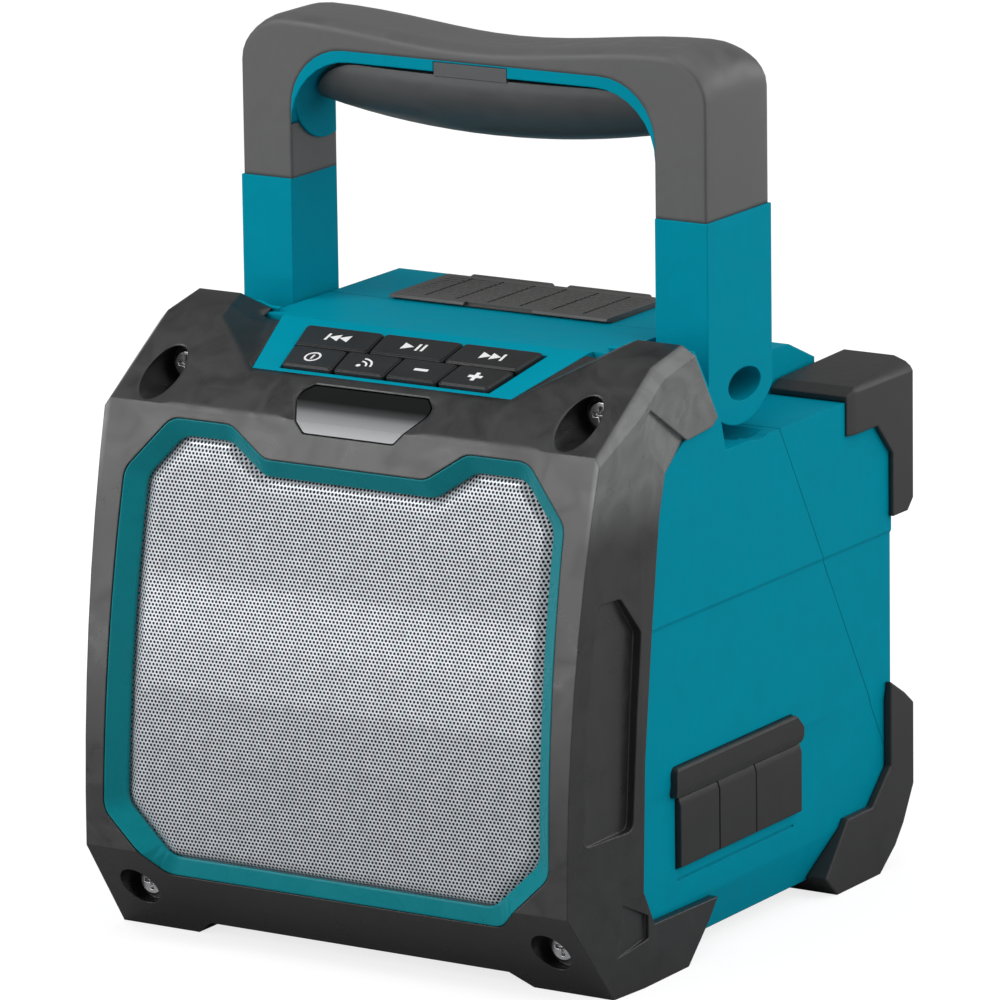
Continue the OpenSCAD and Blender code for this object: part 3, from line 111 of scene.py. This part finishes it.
def axes(tree):
    """The object's own coordinates, as outputs named X, Y and Z."""
    coord = tree.nodes.new("ShaderNodeTexCoord")
    split = tree.nodes.new("ShaderNodeSeparateXYZ")
    tree.links.new(coord.outputs["Object"], split.inputs["Vector"])
    return split.outputs


def noise(tree, per_metre, detail, distortion=0.0):
    """Noise over the object's own coordinates."""
    coord = tree.nodes.new("ShaderNodeTexCoord")
    tex = tree.nodes.new("ShaderNodeTexNoise")
    tex.inputs["Scale"].default_value = per_metre
    tex.inputs["Detail"].default_value = detail
    tex.inputs["Distortion"].default_value = distortion
    tree.links.new(coord.outputs["Object"], tex.inputs["Vector"])
    return tex.outputs["Fac"]


def ramp(tree, source, stops):
    """A colour ramp driven by source, with stops of (place, colour)."""
    node = tree.nodes.new("ShaderNodeValToRGB")
    elements = node.color_ramp.elements
    elements[0].position, elements[0].color = stops[0]
    elements[1].position, elements[1].color = stops[-1]
    for place, colour in stops[1:-1]:
        elements.new(place).color = colour
    tree.links.new(source, node.inputs["Fac"])
    return node.outputs["Color"]


def spread(tree, source, span, results=(0.0, 1.0), kind="LINEAR"):
    """Source, spread from a span of its values over two results."""
    node = tree.nodes.new("ShaderNodeMapRange")
    node.interpolation_type = kind
    feed(tree, source, node.inputs["Value"])
    for end, value, result in zip(("Min", "Max"), span, results):
        feed(tree, value, node.inputs["From " + end])
        feed(tree, result, node.inputs["To " + end])
    return node.outputs["Result"]


def step(tree, source, span, results=(0.0, 1.0)):
    """A smooth step of source over a span, from the first result to the second."""
    return spread(tree, source, span, results, "SMOOTHSTEP")


def add_bump(tree, bsdf, height, strength, depth):
    """A bump under the main shader, and its node."""
    node = tree.nodes.new("ShaderNodeBump")
    node.inputs["Strength"].default_value = strength
    node.inputs["Distance"].default_value = depth
    tree.links.new(height, node.inputs["Height"])
    tree.links.new(node.outputs["Normal"], bsdf.inputs["Normal"])
    return node


# Kinds of material

PATCHES_PER_METRE = 60
PATCH_LEVELS = (0.3, 0.7)
GRAIN_HEIGHT = 0.2 * MM
EDGE_SAMPLES = 6
WEAR_PER_METRE = 300
WEAR_HEIGHT = 0.1 * MM

# Shaded edges of the front frame: soft on the brow between the window and the screw wells, crisp elsewhere
CRISP_EDGE = 0.8
SOFT_BROW = 4.0
BROW_RISE = mm(186, 188)
WINDOW_END = mm(24, 30)
WELL_START = mm(72, 78)

# Outer faces of the horns, where a painted highlight mixed with rubbed wear makes the rubber pale
HORN_OUTSIDE = mm(97, 99.5)
HORN_RISE = mm(154, 182)
LIT_AND_RUBBED_RUBBER = linear(112, 113, 113)
LEAST_LIT_AND_RUBBED = 0.72


def moulded(
    name, colour, roughness, specular=0.3, grain=1800, grain_depth=0.06, mottle=0.06, sheen=0.06, soft=0
):
    """Moulded plastic or rubber: spark grain, faint unevenness, edges shaded soft by so many millimetres."""
    mat, tree, bsdf = shader(name, roughness)
    bsdf.inputs["Specular IOR Level"].default_value = specular
    patches = noise(tree, PATCHES_PER_METRE, detail=5, distortion=1.5)
    tones = (shade(colour, 1 - mottle), shade(colour, 1 + mottle))
    feed(tree, ramp(tree, patches, list(zip(PATCH_LEVELS, tones))), bsdf.inputs["Base Color"])
    gloss = spread(tree, patches, PATCH_LEVELS, (roughness - sheen, roughness + sheen))
    feed(tree, gloss, bsdf.inputs["Roughness"])
    bump = add_bump(tree, bsdf, noise(tree, grain, detail=2), grain_depth, GRAIN_HEIGHT)
    if soft:
        edges = tree.nodes.new("ShaderNodeBevel")
        edges.samples = EDGE_SAMPLES
        edges.inputs["Radius"].default_value = soft * MM
        tree.links.new(edges.outputs["Normal"], bump.inputs["Normal"])
    return mat


def frame_rubber(name):
    """Rubber of the front frame: soft along the brow, with a painted highlight and rubbed wear in pale patches
    outside the horns.
    """
    mat = moulded(name, grey(34), roughness=0.34, specular=0.68, mottle=0.1, sheen=0.1, soft=CRISP_EDGE)
    tree = mat.node_tree
    place = axes(tree)
    outward = calculate(tree, "ABSOLUTE", place["X"])

    crisp, soft = mm(CRISP_EDGE, SOFT_BROW)
    before_wells = step(tree, outward, WELL_START, (soft, crisp))
    beside_window = step(tree, outward, WINDOW_END, (crisp, before_wells))
    radius = step(tree, place["Z"], BROW_RISE, (crisp, beside_window))
    feed(tree, radius, tree.nodes["Bevel"].inputs["Radius"])

    # Painted highlight mixed with rubbed wear: the outer horn faces turn pale grey in uneven patches, most towards
    # the top.
    pale_patches = noise(tree, 48, detail=7, distortion=2.5)
    uneven = step(tree, pale_patches, (0.35, 0.65), (LEAST_LIT_AND_RUBBED, 1.0))
    outside = step(tree, outward, HORN_OUTSIDE, (0.0, uneven))
    lit_and_rubbed = step(tree, place["Z"], HORN_RISE, (0.0, outside))
    base = tree.nodes["Principled BSDF"].inputs["Base Color"]
    mix = tree.nodes.new("ShaderNodeMix")
    mix.data_type = "RGBA"
    tree.links.new(lit_and_rubbed, mix.inputs["Factor"])
    tree.links.new(base.links[0].from_socket, mix.inputs["A"])
    mix.inputs["B"].default_value = LIT_AND_RUBBED_RUBBER
    tree.links.new(mix.outputs["Result"], base)
    return mat


def metal(name, colour, roughness, metallic=1.0):
    """Bare or plated metal with fine wear."""
    mat, tree, bsdf = shader(name, roughness, metallic)
    wear = noise(tree, WEAR_PER_METRE, detail=4)
    tone = ramp(tree, wear, [(0.35, shade(colour, 0.9)), (0.65, shade(colour, 1.05))])
    feed(tree, tone, bsdf.inputs["Base Color"])
    add_bump(tree, bsdf, wear, 0.05, WEAR_HEIGHT)
    return mat


def lens_with_painted_reflection(name):
    """Dark glossy lens, with a painted reflection that makes it pale grey towards its lower edge."""
    low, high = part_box("status_window")
    mat, tree, bsdf = shader(name, 0.1)
    bsdf.inputs["Specular IOR Level"].default_value = 0.25
    height = spread(tree, axes(tree)["Z"], (low.z, high.z))
    # Painted reflection: pale grey low on the lens, fading to black towards its top.
    stops = [
        (0.02, linear(172, 173, 175)),
        (0.45, linear(126, 127, 129)),
        (0.58, linear(66, 67, 68)),
        (0.72, linear(16, 17, 17)),
    ]
    feed(tree, ramp(tree, height, stops), bsdf.inputs["Base Color"])
    return mat


# Materials of the pieces, named as the slots of the record where they fill one

MOULDED = {
    "teal_shell": dict(colour=linear(0, 142, 165), roughness=0.5, specular=0.02, mottle=0.03, soft=0.7),
    "teal_bezel": dict(
        colour=linear(0, 124, 134),
        roughness=0.3,
        specular=0.2,
        grain=900,
        grain_depth=0.2,
        mottle=0.03,
        soft=0.8,
    ),
    "handle_black": dict(colour=grey(86), roughness=0.4, specular=0.35, mottle=0.1, sheen=0.1, soft=2),
    "grip_rubber": dict(colour=linear(66, 68, 69), roughness=0.4, specular=0.5, mottle=0.08),
    "bumper_rubber": dict(colour=grey(46), roughness=0.45, specular=0.4, mottle=0.12, soft=1.2),
    "flap_rubber": dict(colour=grey(42), roughness=0.45, specular=0.4, mottle=0.1),
    "key_rubber": dict(colour=linear(36, 36, 37), roughness=0.42, specular=0.4, mottle=0.08),
    "mat_rubber": dict(colour=grey(24), roughness=0.6),
    "lid_plastic": dict(colour=linear(70, 69, 68), roughness=0.44, specular=0.5, mottle=0.1, soft=0.3),
    "inner_plastic": dict(colour=linear(26, 26, 27), roughness=0.5),
    "bush_plastic": dict(colour=linear(40, 60, 62), roughness=0.45),
    "board": dict(colour=linear(20, 90, 50), roughness=0.4),
    "cone_paper": dict(colour=linear(22, 22, 23), roughness=0.8, grain=900, grain_depth=0.3),
    "wire_jacket": dict(colour=linear(140, 20, 20), roughness=0.45),
    # Painted shade: the pivot pins take the dark teal of the shade inside their wells.
    "pin_painted_shade": dict(colour=linear(14, 40, 42), roughness=0.5),
    "mark_white": dict(colour=linear(235, 236, 236), roughness=0.55, grain_depth=0.02, mottle=0.02),
}
METALS = {
    "grille_metal": dict(colour=linear(208, 212, 218), roughness=0.2, metallic=0.14),
    "steel": dict(colour=linear(205, 205, 207), roughness=0.22),
    "terminal_brass": dict(colour=linear(200, 160, 90), roughness=0.3),
    "basket_metal": dict(colour=linear(40, 40, 42), roughness=0.45, metallic=0.4),
    "magnet_metal": dict(colour=linear(50, 50, 52), roughness=0.5, metallic=0.6),
    "coil": dict(colour=linear(170, 100, 50), roughness=0.35),
    "dome": dict(colour=linear(120, 120, 125), roughness=0.4, metallic=0.5),
    "sink_metal": dict(colour=linear(170, 170, 172), roughness=0.4),
}
materials = {
    **{name: moulded(name, **look) for name, look in MOULDED.items()},
    **{name: metal(name, **look) for name, look in METALS.items()},
    "frame_black": frame_rubber("frame_black"),
    "window_lens": lens_with_painted_reflection("window_lens"),
}

for part in frame["record"]["subparts"]:
    mesh = nodes[part["node"]].data
    mesh.materials.clear()
    mesh.materials.append(materials[part["material_slot"]])
# The pivot pins are painted the dark teal of the shade inside the wells of the handle arms.
nodes["handle_pivot_pins"].data.materials[0] = materials["pin_painted_shade"]


# Edges of the solids: radii of the rounded ones in millimetres

EDGE_RADII = {
    "front_frame": 1.3,
    "grille_bezel": 0.9,
    "handle_frame": 1.8,
    "handle_cover": 1.2,
    "handle_grip": 0.8,
    "handle_pivot_pins": 0.4,
    "pivot_bushes": 0.3,
    "battery_bay": 0.5,
    "frame_screws": 0.3,
    "housing_screws": 0.3,
    "port_strip": 0.7,
    **{"port_flap_" + socket: 0.6 for socket in ("usb", "aux", "dc")},
    **{f"rear_bumper_{end}_{side}": 1.8 for end in ("top", "bottom") for side in ("left", "right")},
    **{"button_" + key: 0.45 for key in KEYS},
}

# Pieces with cut-outs in their flat faces keep their edges, which fold sharply above these angles
FOLDS = {"front_housing": 24, "rear_housing": 24, "battery_lid": 24, "status_window": 40}

WELD_REACH = 0.002 * MM
FLAT_WITHIN = math.radians(0.4)
ROUND_ABOVE = math.radians(22)
ROUND_SEGMENTS = 3
NORMAL_WEIGHT = 60


def join_corners(obj):
    """Shades a solid smoothly, with its shared corners joined."""
    obj.data.polygons.foreach_set("use_smooth", [True] * len(obj.data.polygons))
    obj.modifiers.new("weld", "WELD").merge_threshold = WELD_REACH


def level_faces(obj):
    """Keeps flat faces flat under smooth shading."""
    obj.modifiers.new("normals", "WEIGHTED_NORMAL").weight = NORMAL_WEIGHT


def round_edges(obj, radius):
    """Rounds the sharp edges of a solid without touching its mesh."""
    join_corners(obj)
    flat = obj.modifiers.new("flat faces", "DECIMATE")
    flat.decimate_type = "DISSOLVE"
    flat.angle_limit = FLAT_WITHIN
    bevel = obj.modifiers.new("rounding", "BEVEL")
    bevel.width = radius * MM
    bevel.segments = ROUND_SEGMENTS
    bevel.limit_method = "ANGLE"
    bevel.angle_limit = ROUND_ABOVE
    bevel.miter_outer = "MITER_ARC"
    level_faces(obj)


def keep_edges(obj, fold):
    """Leaves the edges of a solid sharp where they fold by more than an angle in degrees."""
    join_corners(obj)
    obj.modifiers.new("sharp edges", "EDGE_SPLIT").split_angle = math.radians(fold)
    level_faces(obj)


for name, radius in EDGE_RADII.items():
    round_edges(nodes[name], radius)
for name, fold in FOLDS.items():
    keep_edges(nodes[name], fold)


# Perforated grille in front of a dark sheet of painted shade, seen through its holes

HOLE_PITCH = 1.48 * MM
HOLE_RADIUS = 0.54 * MM
HOLE_SIDES = 6
GRILLE_CROWN = 2.2 * MM
GRILLE_TURNED_EDGE = 5 * MM
HIDDEN_RIM = 2.3 * MM
SHADE_SHEET_BEHIND = 1.4 * MM
SAME_POINT_DIGITS = 6


def add_piece(name, points, faces, material, body, smooth=False):
    """A new mesh that moves with a body."""
    mesh = bpy.data.meshes.new(name)
    mesh.from_pydata([tuple(p) for p in points], [], faces)
    mesh.materials.append(material)
    mesh.polygons.foreach_set("use_smooth", [smooth] * len(mesh.polygons))
    obj = bpy.data.objects.new(name, mesh)
    scene.collection.objects.link(obj)
    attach(obj, body)
    return obj


def front_faces(mesh):
    """The faces of a solid that look forward, as corner points with shared corners made equal."""
    for face in mesh.polygons:
        if face.normal.y < -0.5:
            corners = (mesh.vertices[i].co for i in face.vertices)
            yield [tuple(round(c, SAME_POINT_DIGITS) for c in corner) for corner in corners]


def rim_of(faces):
    """Ends of the edges round a sheet of faces, as an array of (x, z, x, z), and its points as (z, y)."""
    count = {}
    for face in faces:
        for a, b in zip(face, face[1:] + face[:1]):
            edge = (min(a, b), max(a, b))
            count[edge] = count.get(edge, 0) + 1
    rim = np.array([[a[0], a[2], b[0], b[2]] for (a, b), n in count.items() if n == 1])
    profile = sorted({(p[2], p[1]) for face in faces for p in face})
    return rim, np.array(profile)


def distance_inside(points, rim):
    """Distance of each (x, z) point to the rim, negative outside."""
    start, end = rim[:, :2], rim[:, 2:]
    along = end - start
    out = np.empty(len(points))
    for i, p in enumerate(points):
        t = np.clip(((p - start) * along).sum(1) / (along ** 2).sum(1), 0, 1)
        reach = np.hypot(*(start + along * t[:, None] - p).T).min()
        spans = (start[:, 1] > p[1]) != (end[:, 1] > p[1])
        cross = start[spans, 0] + (p[1] - start[spans, 1]) / along[spans, 1] * along[spans, 0]
        out[i] = reach if (cross > p[0]).sum() % 2 else -reach
    return out


def hole_centres(rim):
    """Centres of the holes as (x, z), in staggered rows inside the rim."""
    low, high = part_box("grille_mesh")
    row_step = HOLE_PITCH * math.sqrt(3) / 2
    rows = int((high.z - low.z) / row_step) + 1
    columns = int((high.x - low.x) / HOLE_PITCH) + 2
    centres = np.array([
        (low.x + (column + row % 2 / 2) * HOLE_PITCH, low.z + row * row_step)
        for row in range(rows)
        for column in range(columns)
    ])
    return centres[distance_inside(centres, rim) > HOLE_PITCH / 2]


def on_sheet(flat, rim, profile):
    """Points (x, z) laid on the sheet, which is crowned in front of its solid and turned back at the rim."""
    turned = (distance_inside(flat, rim) - HIDDEN_RIM) / GRILLE_TURNED_EDGE
    crown = GRILLE_CROWN * np.sin(np.clip(turned, 0, 1) * math.pi / 2)
    y = np.interp(flat[:, 1], profile[:, 0], profile[:, 1]) - crown
    return np.stack([flat[:, 0], y, flat[:, 1]], 1)


def make_grille():
    """The sheet, as a six-sided cell of metal round each hole, and a dark sheet of painted shade behind it, as the
    same cells unpierced.
    """
    rim, profile = rim_of(list(front_faces(nodes["grille_mesh"].data)))
    centres = hole_centres(rim)
    angles = np.radians(np.arange(30, 390, 360 // HOLE_SIDES))
    ring = np.stack([np.cos(angles), np.sin(angles)], 1)
    corners = (centres[:, None] + ring * HOLE_PITCH / math.sqrt(3)).reshape(-1, 2)
    corners, cells = np.unique(np.round(corners, SAME_POINT_DIGITS), axis=0, return_inverse=True)
    cells = cells.reshape(-1, HOLE_SIDES).tolist()
    holes = (centres[:, None] + ring * HOLE_RADIUS).reshape(-1, 2)

    corner_points = on_sheet(corners, rim, profile)
    points = np.concatenate([corner_points, on_sheet(holes, rim, profile)])
    quads = []
    for n, cell in enumerate(cells):
        first = len(corners) + HOLE_SIDES * n
        for k in range(HOLE_SIDES):
            m = (k + 1) % HOLE_SIDES
            quads.append((cell[k], first + k, first + m, cell[m]))
    sheet = add_piece("grille_sheet", points, quads, materials["grille_metal"], "case", smooth=True)
    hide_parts("grille_mesh")
    # Painted shade: a dark unpierced sheet behind the holes stands in for the shade seen through them.
    shade_sheet_points = corner_points + (0, SHADE_SHEET_BEHIND, 0)
    shade_sheet = add_piece("grille_shade_sheet", shade_sheet_points, cells, materials["cone_paper"], "case")


make_grille()


# White marks on the keys, drawn about the middle of each key in units of MARK_SCALE

MARK_LIFT = 0.05 * MM
MARK_SCALE = 1.25 * MM
TOP_FACE_DEPTH = 0.05 * MM
SIGN_HEIGHT = 3.6
SIGN_STROKE = 0.8
LINE = 0.6
WAVES_FROM = (-1.6, -1.6)


def bar(x, y, width, height):
    return [(x, y), (x + width, y), (x + width, y + height), (x, y + height)]


def upright(x):
    """A bar as high as the arrows."""
    return bar(x, -SIGN_HEIGHT / 2, SIGN_STROKE, SIGN_HEIGHT)


def arrow(x, width):
    """A triangle that points to the right."""
    return [(x, -SIGN_HEIGHT / 2), (x + width, 0), (x, SIGN_HEIGHT / 2)]


def arc(radius, thick, sweep, steps, centre=(0, 0)):
    """A band inside a circle, from its right-hand end through an angle in degrees, as four-sided pieces."""
    turns = [math.radians(sweep * i / steps) for i in range(steps + 1)]
    outer, inner = (
        [(centre[0] + r * math.cos(turn), centre[1] + r * math.sin(turn)) for turn in turns]
        for r in (radius, radius - thick)
    )
    return [[outer[i], outer[i + 1], inner[i + 1], inner[i]] for i in range(steps)]


def mirrored(shapes):
    """Shapes seen in a mirror, with their corners still in counter-clockwise order."""
    return [[(-x, y) for x, y in reversed(shape)] for shape in shapes]


DASH = bar(-2.2, -0.6, 4.4, 1.2)
SKIP_FORWARD = [arrow(-3.9, 3.2), arrow(-0.7, 3.2), upright(2.7)]
WAVE_DOT = arc(0.7, 0.7, 360, 16, WAVES_FROM)
WAVES = arc(2.6, LINE, 90, 10, WAVES_FROM) + arc(4.1, LINE, 90, 12, WAVES_FROM)
MARKS = {
    "previous": mirrored(SKIP_FORWARD),
    "play_pause": [arrow(-3.9, 3.6), upright(0.7), upright(2.5)],
    "next": SKIP_FORWARD,
    "power": arc(2.5, LINE, 360, 32) + [bar(-LINE / 2, -1.1, LINE, 2.2)],
    "wireless": WAVE_DOT + WAVES,
    "volume_down": [DASH],
    "volume_up": [DASH, bar(-0.6, 0.6, 1.2, 1.6), bar(-0.6, -2.2, 1.2, 1.6)],
}
press_axis = {joint["child"]: Vector(joint["axis"]) for joint in frame["joints"]}


def make_mark(key, shapes):
    """Thin raised print on the top face of a key."""
    out = -press_axis["key_" + key].normalized()
    right = Vector((1, 0, 0))
    up = out.cross(right)
    corners = [v.co for v in nodes["button_" + key].data.vertices]
    top = max(c.dot(out) for c in corners)
    on_top = [c for c in corners if c.dot(out) > top - TOP_FACE_DEPTH]
    middle = [(min(c.dot(d) for c in on_top) + max(c.dot(d) for c in on_top)) / 2 for d in (right, up)]
    points, faces = [], []
    for shape in shapes:
        n, first = len(shape), len(points)
        for lift in (-MARK_LIFT, MARK_LIFT):
            for x, y in shape:
                place = right * (middle[0] + x * MARK_SCALE) + up * (middle[1] + y * MARK_SCALE)
                points.append(place + out * (top + lift))
        faces.append(list(range(first + n, first + 2 * n)))
        faces.append(list(range(first + n - 1, first - 1, -1)))
        for k in range(n):
            m = (k + 1) % n
            faces.append([first + k, first + m, first + n + m, first + n + k])
    mark = add_piece("mark_" + key, points, faces, materials["mark_white"], "key_" + key)


for key in KEYS:
    make_mark(key, MARKS[key])


# Camera, set from the photograph

CAMERA_AZIMUTH = math.radians(32.01)
CAMERA_ELEVATION = math.radians(13.42)
CAMERA_ROLL = math.radians(-0.80)
CAMERA_DISTANCE = 2956.1 * MM
CAMERA_TARGET = Vector((9.74, -12, 147.98)) * MM
CAMERA_LENS = 306.04
CAMERA_SENSOR = 36


def make_camera():
    right = Vector((math.cos(CAMERA_AZIMUTH), math.sin(CAMERA_AZIMUTH), 0))
    flat = math.cos(CAMERA_ELEVATION)
    back = Vector(
        (math.sin(CAMERA_AZIMUTH) * flat, -math.cos(CAMERA_AZIMUTH) * flat, math.sin(CAMERA_ELEVATION))
    )
    up = back.cross(right)
    turned_right = right * math.cos(CAMERA_ROLL) + up * math.sin(CAMERA_ROLL)
    turned_up = up * math.cos(CAMERA_ROLL) - right * math.sin(CAMERA_ROLL)
    place = CAMERA_TARGET + back * CAMERA_DISTANCE
    data = bpy.data.cameras.new("camera")
    data.lens = CAMERA_LENS
    data.sensor_width = CAMERA_SENSOR
    data.clip_start = 0.1
    data.clip_end = 100
    cam = bpy.data.objects.new("camera", data)
    scene.collection.objects.link(cam)
    turn = Matrix((turned_right, turned_up, back)).transposed().to_4x4()
    cam.matrix_world = Matrix.Translation(place) @ turn
    scene.camera = cam


make_camera()


# Studio in metres: each lamp's place, target, width and height, and its watts

LAMPS = {
    "front": ((-1.5, -2.15, 1.16), (-0.05, 0, 0.3), (2.4, 1.2), 34),
    "low": ((-1.35, -2.1, 0.12), (0, 0, 0.14), (2.6, 0.26), 8.5),
    "side": ((2.6, 0.1, 1.3), (0, 0, 0.25), (2.6, 2.2), 31),
    "top": ((0.7, 0.3, 2.5), (0, 0, 0.15), (3.0, 3.0), 29),
    "key": ((-1.3, -0.9, 2.05), (0, 0, 0.15), (0.9, 0.9), 16),
    "rim": ((1.6, 2.3, 0.95), (0, 0, 0.2), (2.4, 1.0), 16),
}
WHITE = (1, 1, 1, 1)
SKY_STRENGTH = 0.26
FLOOR_HALF = 30.0
FLOOR_COLOUR = (0.32, 0.32, 0.32, 1)
FLOOR_GLOW = 0.78
BACKDROP_FROM = (0.9, 1.8)


def area_light(name, place, target, size, power):
    data = bpy.data.lights.new(name, "AREA")
    data.shape = "RECTANGLE"
    data.size, data.size_y = size
    data.energy = power
    lamp = bpy.data.objects.new(name, data)
    lamp.location = place
    lamp.rotation_euler = (Vector(target) - Vector(place)).to_track_quat("-Z", "Y").to_euler()
    scene.collection.objects.link(lamp)


def make_sky():
    world = bpy.data.worlds.new("studio")
    world.use_nodes = True
    sky = world.node_tree.nodes["Background"]
    sky.inputs["Color"].default_value = WHITE
    sky.inputs["Strength"].default_value = SKY_STRENGTH
    scene.world = world


def floor_paint():
    """Pale paint that glows for the camera, and as a far backdrop in what the object mirrors."""
    mat, tree, bsdf = shader("floor", 0.9)
    bsdf.inputs["Base Color"].default_value = FLOOR_COLOUR
    bsdf.inputs["Emission Color"].default_value = WHITE
    ray = tree.nodes.new("ShaderNodeLightPath").outputs
    place = tree.nodes.new("ShaderNodeNewGeometry")
    reach = tree.nodes.new("ShaderNodeVectorMath")
    reach.operation = "LENGTH"
    tree.links.new(place.outputs["Position"], reach.inputs[0])
    far_off = step(tree, reach.outputs["Value"], BACKDROP_FROM)
    indirect = calculate(tree, "MAXIMUM", ray["Is Glossy Ray"], ray["Is Transmission Ray"])
    backdrop = calculate(tree, "MULTIPLY", indirect, far_off)
    seen = calculate(tree, "MAXIMUM", ray["Is Camera Ray"], backdrop)
    feed(tree, calculate(tree, "MULTIPLY", seen, FLOOR_GLOW), bsdf.inputs["Emission Strength"])
    return mat


def make_floor():
    corners = [(x * FLOOR_HALF, y * FLOOR_HALF, 0) for x, y in ((-1, -1), (1, -1), (1, 1), (-1, 1))]
    mesh = bpy.data.meshes.new("floor")
    mesh.from_pydata(corners, [], [(0, 1, 2, 3)])
    floor = bpy.data.objects.new("floor", mesh)
    scene.collection.objects.link(floor)
    mesh.materials.append(floor_paint())


for name, lamp in LAMPS.items():
    area_light(name, *lamp)
make_sky()
make_floor()
